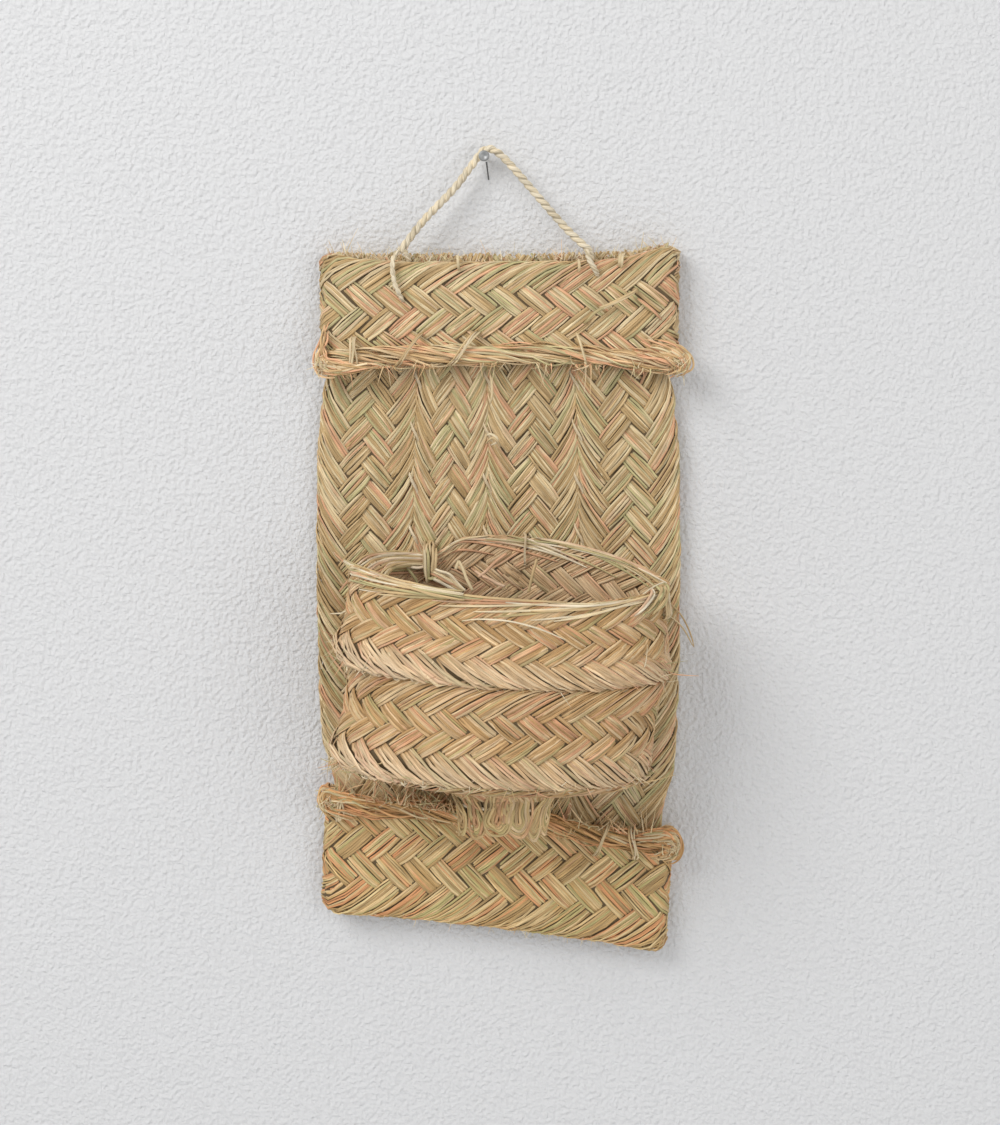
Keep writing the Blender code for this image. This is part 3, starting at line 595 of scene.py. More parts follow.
def loose_blades(name, routes, finish, seed, wide, thick, points=24, tip=0.5, tones=None, sides=6,
                 nodes=()):
    """Single blades, each on a smooth line through its own few points, thinner towards both ends."""
    rng = np.random.default_rng(seed)
    line = np.stack([smooth_line(route, points) for route in routes])
    taper = 1 - tip * np.abs(np.linspace(-1, 1, points))**3
    face = np.broadcast_to((0.0, -1.0, 0.15), line.shape)
    tones = rng.uniform(0, 1, len(routes)) if tones is None else tones
    blades(name, line, face, wide * taper, thick * taper, tones, finish, nodes, sides)


def fan(pair, count, seed, slack=0.0003, part=0.0):
    """Routes shared out evenly between a first and a last one, each point then moved at random. Each
    leaves out up to a part of its length at either end."""
    rng = np.random.default_rng(seed)
    first, last = metres(pair)
    share = np.linspace(0.0, 1.0, count)[:, None, None]
    routes = (1 - share) * first + share * last
    routes = routes + rng.normal(0.0, slack, routes.shape)
    starts = (FAN_POINTS * rng.uniform(0.0, part, count)).astype(int)
    stops = (FAN_POINTS * (1 - rng.uniform(0.0, part, count))).astype(int)
    return [smooth_line(route, FAN_POINTS)[a:b]
            for route, a, b in zip(routes, starts, stops, strict=True)]


def edge_route(centre_x, half_width, level):
    """The way of an edge cord: tail, quarter circle, straight front, quarter circle, tail."""
    straight = half_width - HANK_INSET - HALF_THICK - SLEEVE_RADIUS
    reach = SLEEVE_RADIUS + EDGE_CORD_PROUD
    bend = np.linspace(0, np.pi / 2, 5)
    right = np.stack([straight + reach * np.sin(bend), -reach * np.cos(bend)], axis=1)
    right = np.concatenate([right, [(straight + reach, HANK_TAIL)]])
    left = right[::-1] * (-1.0, 1.0)
    front = np.stack([np.linspace(-straight, straight, 15)[1:-1], np.full(13, -reach)], axis=1)
    plan = np.concatenate([left, front, right]) + (centre_x + HANK_SHIFT, 0.0)
    return np.concatenate([plan, level(plan[:, :1])], axis=1)


edge_finish = grass_finish("edge_grass", [
    (1.4, (0.62, 0.53, 0.28)), (2.2, (0.86, 0.69, 0.44)), (2.4, (0.70, 0.48, 0.25)),
    (1.0, (0.50, 0.32, 0.14)), (2.0, (0.73, 0.50, 0.27)), (2.2, (0.80, 0.44, 0.25))])
foot_edge_finish = grass_finish("foot_edge_grass", [
    (0.6, GREEN), (1.0, PALE), (2.4, (0.60, 0.36, 0.14)), (1.2, (0.44, 0.25, 0.09)),
    (2.4, (0.62, 0.36, 0.15)), (2.0, (0.70, 0.36, 0.17))])
hank("top_edge_hank", "top_edge_cord", edge_route(*TOP_BAND, top_cord_level), -0.13, edge_finish, 54,
     ((0.0, 0.6), (0.08, 1.0), (0.40, 1.0), (0.65, 0.8), (0.88, 0.85), (0.95, 1.0), (1.0, 0.6)))
hank("foot_edge_hank", "foot_edge_cord", edge_route(*FOOT_BAND, foot_cord_level), -0.12,
     foot_edge_finish, 55, ((0.0, 0.6), (0.08, 1.0), (0.40, 0.9), (0.80, 0.9), (0.93, 1.1), (1.0, 0.6)))

HANK_TURNS = (
    ("top_left", edge_finish, (
        (-858, -80, -870, -870, -95, -960, -888, -105, -1051, -898, -118, -1108, -873, -135, -1142,
         -802, -142, -1150, -708, -142, -1136, -599, -135, -1125),
        (-835, -95, -899, -846, -118, -975, -850, -130, -1025, -831, -140, -1060, -772, -147, -1080,
         -707, -150, -1088, -599, -150, -1090, -490, -135, -1090))),
    ("top_right", edge_finish, (
        (893, -100, -950, 988, -120, -975, 1068, -120, -1009, 1103, -112, -1061, 1099, -112, -1117,
         1062, -125, -1152, 1010, -125, -1168),
        (749, -130, -1028, 852, -145, -1051, 940, -148, -1079, 990, -150, -1104, 1002, -145, -1118,
         985, -140, -1132, 920, -130, -1140))),
    ("foot_left", foot_edge_finish, (
        (-558, -130, -3508, -657, -138, -3480, -737, -138, -3456, -823, -132, -3435, -884, -122, -3415,
         -907, -112, -3455, -910, -118, -3506, -871, -132, -3547, -791, -138, -3580, -690, -120, -3610),
        (-557, -140, -3532, -657, -150, -3512, -736, -150, -3495, -810, -148, -3486, -842, -142, -3474,
         -860, -138, -3486, -850, -140, -3508, -804, -148, -3528, -737, -148, -3552, -640, -130, -3585))),
    ("foot_right", foot_edge_finish, (
        (814, -130, -3666, 950, -138, -3649, 1026, -135, -3650, 1070, -125, -3685, 1085, -115, -3748,
         1063, -125, -3804, 1020, -132, -3830, 968, -120, -3842),
        (814, -140, -3721, 925, -152, -3728, 985, -152, -3738, 1005, -146, -3752, 995, -142, -3768,
         965, -144, -3778, 920, -140, -3788, 864, -125, -3790))))
for seed, (place_name, finish, turns) in enumerate(HANK_TURNS, 56):
    loose_blades(f"{place_name}_hank_turns", fan(turns, 30, seed, 0.0008, 0.40), finish,
                 seed, 0.00066, 0.00045, 44, 0.7)

# Ties of the bands
# Each is one to three blades, wound once round the edge cord and through the plait behind it.
TIE_RADIUS = 0.0010
TIE_REACH = 0.0060
TIE_OUT = 0.0058
TIE_Y = -0.0086
TIE_SPREAD = 0.0013
BAND_TIES = (
    ("top", 1, TOP_BAND, top_cord_level,
     ((-0.80, 3, 0.05), (-0.50, 2, 0.75), (-0.20, 3, 0.80), (0.45, 1, -0.30))),
    ("foot", -1, FOOT_BAND, foot_cord_level,
     ((-0.89, 3, 0.10), (0.60, 2, 0.45), (0.78, 3, -0.12))))


def loop_line(centre, half_out, half_up, corner, out):
    """A closed rounded rectangle in the plane of out and up: at each angle the point lies a corner's
    radius from the middle of its nearest corner. The points are evenly far apart."""
    turn = np.linspace(-0.5, 2 * np.pi - 0.5, 97)
    ahead = (half_out - corner) * np.sign(np.cos(turn)) + corner * np.cos(turn)
    upward = (half_up - corner) * np.sign(np.sin(turn)) + corner * np.sin(turn)
    return even(np.asarray(centre) + ahead[:, None] * out + upward[:, None] * UP, 41)


def binding(name, node, loop, side, count, spread, seed, radius=TIE_RADIUS, lean=0.0):
    """Blades side by side round one loop. Each is moved along side by its share of the spread, with a
    little drift, and its face looks away from the loop's middle."""
    rng = np.random.default_rng(seed)
    middle = loop[:-1].mean(axis=0)
    share = (np.arange(count) - (count - 1) / 2)[:, None, None] * spread
    drift = wander(rng, (count,), np.linspace(0, 0.05, len(loop))[None], (0.017, 0.029), 0.0005)
    line = loop + (share + drift[..., None] + lean * (loop[:, 2:] - middle[2])) * side
    face = np.broadcast_to(unit(loop - middle), line.shape)
    wide = spread * 0.5 * rng.uniform(0.75, 1.15, (count, 1))
    blades(name, line, face, wide, radius * 0.55, rng.uniform(0, 1, count), tie_finish,
           (node,))


for word, way, (centre_x, half_width), level, ties in BAND_TIES:
    for number, (share, count, lean) in enumerate(ties, 1):
        x = centre_x + share * half_width
        loop = loop_line((x, TIE_Y, level(x) + way * TIE_REACH / 2), TIE_OUT + 0.0003,
                         TIE_OUT + TIE_REACH / 2, TIE_OUT, FORWARD)
        binding(f"{word}_band_binding_{number}", f"{word}_band_tie_{number}", loop, RIGHT, count,
                TIE_SPREAD, 60 + number, lean=lean)

# Eyes of the cord
# Below its twist each end of the cord parts. One ply goes down in front of the band and dives between
# its blades, and the other goes over the edge behind it.
EYE_TWIST = 0.0085
EYE_TWIST_RADIUS = 0.00075
EYE_STRANDS = 3
EYE_STRAND_RADIUS = 0.00088
EYES = (
    ("left", 70, (
        (-445, -66, -490, -466, -95, -512, -483, -113, -546, -485, -120, -591, -477, -120, -643,
         -467, -118, -685, -441, -108, -739, -427, -70, -766),
        (-440, -66, -487, -415, -62, -510, -402, -40, -545, -400, -30, -600))),
    ("right", 71, (
        (545, -70, -490, 552, -98, -526, 568, -114, -562, 592, -112, -601, 604, -70, -625),
        (562, -66, -493, 570, -58, -520, 572, -40, -545, 572, -30, -600))))
for word, seed, routes in EYES:
    strands = [strand for route in metres(routes)
               for strand in twisted(smooth_line(route, 30), EYE_TWIST_RADIUS, EYE_TWIST,
                                     EYE_STRANDS)[0][:, ::2]]
    shortest = min(len(strand) for strand in strands)
    strands = [smooth_line(strand, shortest) for strand in strands]
    loose_blades(f"{word}_cord_plies", strands, cord_finish, seed, EYE_STRAND_RADIUS,
                 EYE_STRAND_RADIUS, 48, 0.4, sides=8, nodes=(f"{word}_cord_eye",))

# Pocket
# Two plaits closed into ovals, one on the other. Each row's lower edge stands a little proud. The back
# wall's blades are paler, as painted light inside the pocket.
POCKET_RIM_Z = -0.2177
POCKET_JOIN_Z = -0.2649
POCKET_FOOT_Z = -0.3204
POCKET_LEVELS = (POCKET_FOOT_Z, POCKET_JOIN_Z, POCKET_RIM_Z)
POCKET_HALF_WIDTHS = (0.0820, 0.0864, 0.0851)
POCKET_HALF_DEPTHS = (0.0460, 0.0480, 0.0465)
POCKET_CENTRES_X = (0.0040, 0.0107, 0.0135)
POCKET_DROOP_SHARES = (0.01, 0.06, 0.11)
POCKET_ROLL_SHARES = (-0.049, -0.062, -0.053)
POCKET_BACK_RISE = 0.0100
POCKET_BACK_Y = PANEL_Y - HALF_THICK - 0.0003
POCKET_LIP = 0.0024
POCKET_LEFT_LIP = 0.0036
POCKET_TUCK = 0.0060
POCKET_PITCHES = 28
RIM_DIP = 0.0085
RIM_LIFT = ((2.90, 0.0), (3.14, 0.0020), (3.30, 0.0036), (3.55, 0.0045), (3.77, 0.0038), (4.00, 0.0029),
            (4.24, 0.0016), (4.70, 0.0003), (5.20, -0.0010), (5.65, 0.0006), (5.95, 0.0012), (6.50, 0.0))
# How far the blades of the pocket's back wall turn pale: painted light inside the pocket.
INSIDE_PAINTED_LIGHT = 0.26
JOIN_HALF_HEIGHT = 0.0045
JOIN_THICK = 0.0008
JOIN_STEP_ABOVE = 0.0014
JOIN_STEP_BELOW = 0.0062
POCKET_SEAM_TURN = 0.0110
POCKET_SEAM_REACH = 0.0022
POCKET_SEAM_WIDE = 0.0007
ALL_ROUND = np.linspace(np.pi / 2, np.pi / 2 + 2 * np.pi, 361)


def pocket_point(level, angle, proud=0.0):
    """A point on the middle of the pocket's wall, or proud of it. The angle runs from the right end
    over the back."""
    held = np.clip(level, POCKET_FOOT_Z, POCKET_RIM_Z)

    def here(values):
        return np.interp(held, POCKET_LEVELS, values)

    wide = here(POCKET_HALF_WIDTHS) - HALF_THICK
    deep = here(POCKET_HALF_DEPTHS) - HALF_THICK
    x = wide * np.cos(angle)
    y = deep * np.sin(angle)
    z = (level + x * here(POCKET_ROLL_SHARES) + y * here(POCKET_DROOP_SHARES)
         + POCKET_BACK_RISE * (held - POCKET_FOOT_Z) / (POCKET_RIM_Z - POCKET_FOOT_Z)
         * np.maximum(np.sin(angle), 0.0)**2)
    out = unit(np.stack([np.cos(angle) / wide, np.sin(angle) / deep, np.zeros_like(x)], axis=-1))
    middle = np.stack([here(POCKET_CENTRES_X) + x, POCKET_BACK_Y - HALF_THICK - deep + y, z], axis=-1)
    return middle + np.asarray(proud)[..., None] * out


def round_wall(level):
    """A function that gives the angle at a distance round the pocket's wall at a level, from the
    middle of its back towards its left end, and the distance all the way round."""
    far = distances(pocket_point(np.full_like(ALL_ROUND, level), ALL_ROUND))
    return lambda along: np.interp(np.mod(along, far[-1]), far, ALL_ROUND), far[-1]


def leftness(angle):
    """How much a place belongs to the pocket's left end, from 0 to 1."""
    return np.clip(-np.cos(angle), 0.0, 1.0)**3


def on_pocket(high, low):
    """Points of a row of the pocket: round it from its back, leftwards seen from the front, and down
    it from its top. Its lower part swells out and tucks in again at the edge, most at the left, where
    the lower row also starts further in. The rim dips at the left of the knot, where only a hank of
    blades crosses, and the front of it stands higher at the left. With it come how shaggy the row's
    lower edge is, how far its back wall is painted paler as light inside the pocket, and the distance
    round it."""
    angle_at, length = round_wall((high + low) / 2)

    def place(along, across):
        at = angle_at(along)
        swell = np.clip((across - 0.45) / 0.35, 0.0, 1.0)**2
        late = np.clip((across - 0.80) / 0.20, 0.0, 1.1)**2
        flare = POCKET_LIP * swell * (1 - 0.5 * late)
        flare = flare + leftness(at) * (POCKET_LEFT_LIP * swell - POCKET_TUCK * late)
        if high == POCKET_JOIN_Z:
            flare = flare - POCKET_TUCK * leftness(at) * np.clip(1 - across, 0.0, 1.0)**2
        flare = flare * np.clip(0.8 - 1.2 * np.sin(at), 0.0, 1.0)
        top = high
        if high == POCKET_RIM_Z:
            dip = RIM_DIP * (np.tanh((at - 1.99) / 0.09) - np.tanh((at - 2.78) / 0.14)) / 2
            top = high - dip + np.interp(at, *np.transpose(RIM_LIFT))
        return pocket_point(top + across * (low - top), at, flare)

    def shag(along):
        at = angle_at(along)
        front = np.clip(0.6 - 1.5 * np.sin(at), 0.0, 1.0)
        return front * (0.35 + 0.65 * np.clip(0.1 - np.cos(at), 0.0, 1.0))

    # The back wall turns pale, most at its middle: painted light inside the pocket.
    def inside_painted_light(along):
        return INSIDE_PAINTED_LIGHT * np.clip(1.6 * np.sin(angle_at(along)), 0.0, 1.0)
    return place, shag, inside_painted_light, length


POCKET_STRAW = (0.70, 0.515, 0.30)
# Its pale colour serves both the bleached tufts and the painted light on the back wall.
pocket_finish = grass_finish("pocket_grass", [
    (0.9, (0.46, 0.355, 0.155)), (1.4, POCKET_STRAW), (3.2, (0.54, 0.333, 0.146)),
    (0.8, (0.41, 0.245, 0.10)), (3.2, (0.55, 0.338, 0.15)), (1.0, POCKET_STRAW),
    (1.8, (0.61, 0.325, 0.17))], (0.82, 0.645, 0.45))
for node, high, low, seed in (("pocket_upper_row", POCKET_RIM_Z, POCKET_JOIN_Z, 41),
                              ("pocket_lower_row", POCKET_JOIN_Z, POCKET_FOOT_Z, 42)):
    place, shag, inside_painted_light, length = on_pocket(high, low)
    plait(node, place, length, high - low, length / POCKET_PITCHES, 8, pocket_finish,
          seed, ease=-0.05, ragged=-0.010, lip=shag, tone_shift=inside_painted_light)
    # A dark sheet of painted shade lies between the row's faces.
    shade_sheet(f"{node}_pith", place, 0.0, length, 0.06, 160)

join_angle, join_round = round_wall(POCKET_JOIN_Z)


def on_join(along, across):
    """Points of the dark strip of painted shade that closes the step between the two rows, which is
    widest at the left.
    """
    at = join_angle(along)
    step = (JOIN_STEP_ABOVE + (JOIN_STEP_BELOW - JOIN_STEP_ABOVE) * across) * leftness(at)
    return pocket_point(POCKET_JOIN_Z + JOIN_HALF_HEIGHT * (1 - 2 * across), at, -step)


# A dark strip of painted shade closes the step between the rows.
shade_sheet("pocket_join_shade_sheet", on_join, 0.0, join_round, 0.0, 160, JOIN_THICK)
for number, level in ((1, POCKET_JOIN_Z), (2, POCKET_FOOT_Z)):
    lacing(f"pocket_seam_lacing_{number}", pocket_point(np.full(61, level), ALL_ROUND[::6]), UP,
           POCKET_SEAM_REACH, FORWARD, 0.0, POCKET_SEAM_TURN, POCKET_SEAM_WIDE, POCKET_SEAM_WIDE,
           f"pocket_seam_cord_{number}")

# Base of the pocket
# The lowest plait hangs from the lower row and is drawn in to a gather under the pocket, where its
# folds stand out as a ring of loops round the cord that draws them.
GATHER_X = 0.0110
GATHER_Y = -0.0400
GATHER_DROP = 0.0385
GATHER_FOLDS = 13
FOLD_BLADES = 5
FOLD_BEND = 0.32
NECK_BLADES = 170
NECK_WAY = 0.71
DRAW_CORD_WAY = 0.70
DRAW_CORD_DROP = 0.56 * GATHER_DROP
BASE_DEPTH = 0.0480
BASE_REACH = 0.062
OUTLINE_POINTS = 60
BASE_LEFT_TUCK = 0.0080
BASE_SHARES = ((0.00, 0.00), (0.05, 0.08), (0.22, 0.15), (0.48, 0.22), (0.63, 0.34), (0.69, 0.55),
               (0.71, 0.85), (0.71, 1.00))
SHADE_SHEET_SHARES = ((0.04, 0.02), (0.10, 0.09), (0.26, 0.16), (0.50, 0.24), (0.65, 0.36), (0.71, 0.55),
               (0.73, 0.72), (0.80, 0.79), (0.92, 0.82), (0.995, 0.82))

rim_finish = grass_finish("rim_grass", [(1, GREEN), (1.5, STRAW), (2, PALE), (1, CREAM), (0.6, PINK)])
gather_finish = grass_finish("gather_grass", [
    (1, (0.46, 0.37, 0.16)), (2, (0.63, 0.46, 0.23)), (2, (0.53, 0.35, 0.16)), (1, (0.72, 0.56, 0.33)),
    (1, (0.57, 0.33, 0.17))])
# The neck's blades are coloured dark: painted shade in the hollow inside the ring of loops.
neck_shade_finish = grass_finish("neck_shade_grass", [(1, (0.22, 0.15, 0.07)), (1, (0.34, 0.24, 0.12))])


def base_point(way, drop, angle, proud=0.0):
    """A point of the base, way of the way in from the wall's foot to the gather, drop below it. Its
    left side is tucked in under the lip."""
    foot = pocket_point(np.full_like(angle, POCKET_FOOT_Z), angle, proud)
    tuck = BASE_LEFT_TUCK * leftness(angle) * np.clip(drop / 0.003, 0.0, 1.0)
    x = foot[..., 0] + way * (GATHER_X - foot[..., 0]) + tuck * (1 - way)
    y = foot[..., 1] + way * (GATHER_Y - foot[..., 1])
    z = foot[..., 2] - drop + way * (POCKET_FOOT_Z - foot[..., 2])
    return np.stack([x, y, z], axis=-1)


def outline(shares):
    """A smooth outline of the base through (way, drop) shares, at places that are evenly far apart."""
    size = (BASE_REACH, GATHER_DROP)
    return smooth_line(np.array(shares) * size, OUTLINE_POINTS) / size


def on_base(along, across, line=outline(BASE_SHARES), used=0.68):
    """Points of the base's plait: round it at the wall's foot, and in along the used share of the
    base's outline."""
    share = np.clip(across, -0.02, 1.0 / used) * used * (OUTLINE_POINTS - 1)
    way, drop = (np.interp(share, np.arange(OUTLINE_POINTS), values) for values in line.T)
    return base_point(way, GATHER_DROP * drop, base_angle(along))


def on_shade_sheet(along, across):
    """Points of the dark sheet of painted shade that closes the base and its gather."""
    return on_base(along, across, outline(SHADE_SHEET_SHARES), 1.0)


def from_gather(points):
    """The level direction from the gather's axis to each point."""
    return unit((points - (GATHER_X, GATHER_Y, 0.0)) * (1.0, 1.0, 0.0))


base_angle, base_round = round_wall(POCKET_FOOT_Z)
plait("pocket_base", on_base, base_round, BASE_DEPTH, base_round / POCKET_PITCHES, 7,
      pocket_finish, 43, ragged=-0.010)
# A dark sheet of painted shade closes the base and its gather.
shade_sheet("pocket_base_shade_sheet", on_shade_sheet, 0.0, base_round, 0.0, 120)

# Folds of the base's edge round its neck. Each is a hank of blades that comes down the outline on a
# slant, turns up in a half circle and goes back beside itself, with the inner blades on smaller turns
# round a hollow. The legs draw together upwards, and the turns stand out like petals.
rng = np.random.default_rng(46)
total = GATHER_FOLDS * FOLD_BLADES
fold = np.arange(GATHER_FOLDS).repeat(FOLD_BLADES)[:, None]
middle = 2 * np.pi * (fold + 0.5) / GATHER_FOLDS + rng.normal(0, 0.10, GATHER_FOLDS)[fold]
inner = np.tile(np.arange(FOLD_BLADES), GATHER_FOLDS)[:, None] * 0.00118
reach = 0.0056 + rng.uniform(-0.0014, 0.0008, GATHER_FOLDS)[fold] - inner
low = 1.02 - 0.16 * rng.uniform(0, 1, GATHER_FOLDS)[fold]
t = np.linspace(-1.0, 1.0, 44)[None]
turn = np.clip(np.abs(t) / FOLD_BEND, 0.0, 1.0) * np.pi / 2
leg = np.clip(np.abs(t) - FOLD_BEND, 0, 1) / (1 - FOLD_BEND)
slope = rng.uniform(-0.3, 0.9, GATHER_FOLDS)[fold] - 0.6 * np.cos(middle)
sideways = np.sign(t) * np.sin(turn) * reach * (1 - 0.72 * leg) - slope * leg * 0.013
rise = 2.0 * reach * (1 - np.cos(turn)) + leg * rng.uniform(0.018, 0.025, (total, 1))
drop = np.maximum(low * GATHER_DROP - 1.5 * inner - rise, 0.0)
ways, drops = np.transpose(BASE_SHARES[:-1])
way = np.interp(drop / GATHER_DROP, drops, ways)
neck = base_point(np.full_like(way, NECK_WAY), drop, middle + np.zeros_like(way))
radius = np.linalg.norm(neck[..., :2] - (GATHER_X, GATHER_Y), axis=-1)
petal = (0.0040 + 0.0022 * rng.uniform(-1, 1, GATHER_FOLDS)[fold]) * (1 - leg)**1.5 + 0.0014
path = base_point(way, drop, middle + sideways / radius * 0.9, petal)
path = path + wander(rng, (total,), t * 0.03, (0.013, 0.019), 0.0006)[..., None]
wide = 0.00105 * rng.uniform(0.75, 1.15, (total, 1))
blades("gather_loops", path, from_gather(path), wide, 0.00055, rng.uniform(0, 1, total),
       gather_finish)

# The neck inside the loops: blades coloured dark as painted shade.
rng = np.random.default_rng(47)
column = (NECK_BLADES, 1)
inward = np.linspace(0.0, 1.0, 16) * rng.uniform(0.30, 0.48, column) + rng.uniform(0.40, 0.52, column)
around = rng.uniform(0.0, base_round, column) + rng.normal(0.0, 0.035, column) * inward**2
path = on_shade_sheet(around, inward)
out = unit(path - (GATHER_X, GATHER_Y, POCKET_FOOT_Z - 0.6 * GATHER_DROP))
path = path + (0.0006 + 0.0012 * rng.uniform(0.0, 1.0, (NECK_BLADES, 1, 1))) * out
blades("gather_neck", path, out, 0.00080, 0.0005, rng.uniform(0, 1, NECK_BLADES),
       neck_shade_finish)
angle = np.linspace(0, 2 * np.pi, 49)
neck = base_point(np.full(49, DRAW_CORD_WAY), np.full(49, DRAW_CORD_DROP), angle, 0.0030)
blades("gather_draw_cord", neck[None], from_gather(neck[None]), 0.0010, 0.0009, 0.6,
       tie_finish, ("gather_cord",))

# Ties of the pocket
# A knotted tie and a single blade hold the pocket's back rim to the panel, two more hold it lower
# down inside, and another whips the front rim at the right.
PANEL_REAR_Y = 0.0038
KNOT_X = -0.0300
KNOT_SUNK = 0.0050
RIM_TIE_X = 0.0220
POCKET_TIE_CORNER = 0.0028
RIM_TIE_HEIGHT = 0.0170
LOW_TIE_HALF_HEIGHT = 0.006
LOW_TIES_X = (-0.0120, 0.0340)
WHIP_ANGLE = np.array(-0.30)
WHIP_DROP = 0.0070
WHIP_OUT = 0.0038
WHIP_HALF_HEIGHT = 0.0083


def back_angle(x):
    """The angle of the pocket's back wall at a place across the panel."""
    share = (x - POCKET_CENTRES_X[2]) / (POCKET_HALF_WIDTHS[2] - HALF_THICK)
    return np.arctan2(np.sqrt(1 - share**2), share)


def pocket_loop(x, high, low, radius):
    """The loop of a tie round the pocket's back wall and the plait behind it."""
    angle = back_angle(x)
    lean = np.sin(angle) / (POCKET_HALF_DEPTHS[2] * np.hypot(np.cos(angle) / POCKET_HALF_WIDTHS[2],
                                                           np.sin(angle) / POCKET_HALF_DEPTHS[2]))
    front = pocket_point((high + low) / 2, angle)[1] - HALF_THICK / lean - 0.0006 - radius
    rear = PANEL_REAR_Y + 0.0003 + radius
    return loop_line((x, (front + rear) / 2, (high + low) / 2), (rear - front) / 2, (high - low) / 2,
                     POCKET_TIE_CORNER, FORWARD)


for name, node, x, radius, count, sunk in (
        ("pocket_knot_strands", "pocket_knot", KNOT_X, 0.0016, 4, KNOT_SUNK),
        ("pocket_rim_strand", "pocket_rim_tie", RIM_TIE_X, TIE_RADIUS, 1, 0.0)):
    high = pocket_point(POCKET_RIM_Z, back_angle(x))[2] + 0.0006 + radius - sunk
    binding(name, node, pocket_loop(x, high, high - RIM_TIE_HEIGHT, radius), RIGHT, count, 0.0015, 81,
            radius)
middle = (POCKET_JOIN_Z + POCKET_FOOT_Z) / 2
for number, x in enumerate(LOW_TIES_X, 1):
    binding(f"pocket_low_strand_{number}", f"pocket_low_tie_{number}",
            pocket_loop(x, middle + LOW_TIE_HALF_HEIGHT, middle - LOW_TIE_HALF_HEIGHT, TIE_RADIUS), RIGHT,
            2, 0.0012, 83)
rim = pocket_point(POCKET_RIM_Z, WHIP_ANGLE)
whip_out = unit(pocket_point(POCKET_RIM_Z, WHIP_ANGLE, 0.001) - rim)
loop = loop_line(rim - WHIP_DROP * UP, WHIP_OUT, WHIP_HALF_HEIGHT, WHIP_OUT, whip_out)
binding("pocket_rim_whip", "pocket_rim_whipping", loop, np.cross(whip_out, UP), 4, 0.0016, 84, lean=0.25)

# Rim hank
# Between its left corner and the knot the pocket's back rim is a bare hank of pale blades. They come
# out of the corner, fan open over a hollow, and close under the knot. A few run on along the front rim.
RIM_STRANDS = 64
HANK_FAN = (
    (-684, -500, -2114, -619, -400, -2081, -541, -300, -2081, -461, -220, -2089, -385, -170, -2102,
     -290, -140, -2115),
    (-495, -740, -2145, -492, -600, -2149, -472, -420, -2152, -433, -270, -2162, -372, -180, -2175,
     -290, -140, -2181))
RIM_FAN = (
    (-740, -400, -2100, -680, -550, -2101, -554, -690, -2124, -437, -785, -2146, -348, -845, -2156,
     -248, -895, -2170, -100, -935, -2184),
    (-728, -470, -2125, -680, -580, -2135, -560, -722, -2155, -443, -818, -2172, -350, -875, -2185,
     -248, -920, -2205, -100, -950, -2225))
loose_blades("pocket_rim_hank", fan(HANK_FAN, 11, 91), rim_finish, 91, 0.0008, 0.0006,
             40, 0.2)
loose_blades("pocket_front_rim_strands", fan(RIM_FAN, 6, 94), rim_finish, 94, 0.0007,
             0.0005, 40)
rim_place, _, _, rim_round = on_pocket(POCKET_RIM_Z, POCKET_JOIN_Z)
rim_middle = (POCKET_CENTRES_X[2], POCKET_BACK_Y - HALF_THICK - 0.0440, 0.0)
rng = np.random.default_rng(89)
run = np.linspace(0.0, 1.0, 30)
column = (RIM_STRANDS, 1)
along = rng.uniform(0.0, rim_round, column) + run * rng.uniform(0.035, 0.080, column)
across = (1 - run) * rng.uniform(0.0, 0.22, column) + run * rng.uniform(-0.012, 0.05, column)
path = rim_place(along, across)
out = unit((path - rim_middle) * (0.30, 1.0, 0.0))
side = np.clip((rim_middle[1] - path[..., 1]) / 0.012, -1.0, 1.0) * rng.uniform(0.7, 1.2, column)
face = unit(side[..., None] * out + (0.0, 0.0, 0.5))
blades("pocket_rim_strands", path + 0.0021 * side[..., None] * out, face,
       0.0007 * (1 - 0.6 * np.abs(2 * run - 1)**3), 0.00045, rng.uniform(0, 1, RIM_STRANDS), rim_finish)
TAIL_FAN = (
    (-300, -160, -2172, -241, -190, -2193, -183, -202, -2218, -137, -212, -2262, -98, -225, -2299),
    (-300, -160, -2240, -255, -190, -2249, -209, -200, -2270, -163, -210, -2288, -124, -225, -2299))
loose_blades("pocket_knot_tail", fan(TAIL_FAN, 6, 97), rim_finish, 97, 0.0009, 0.0006)

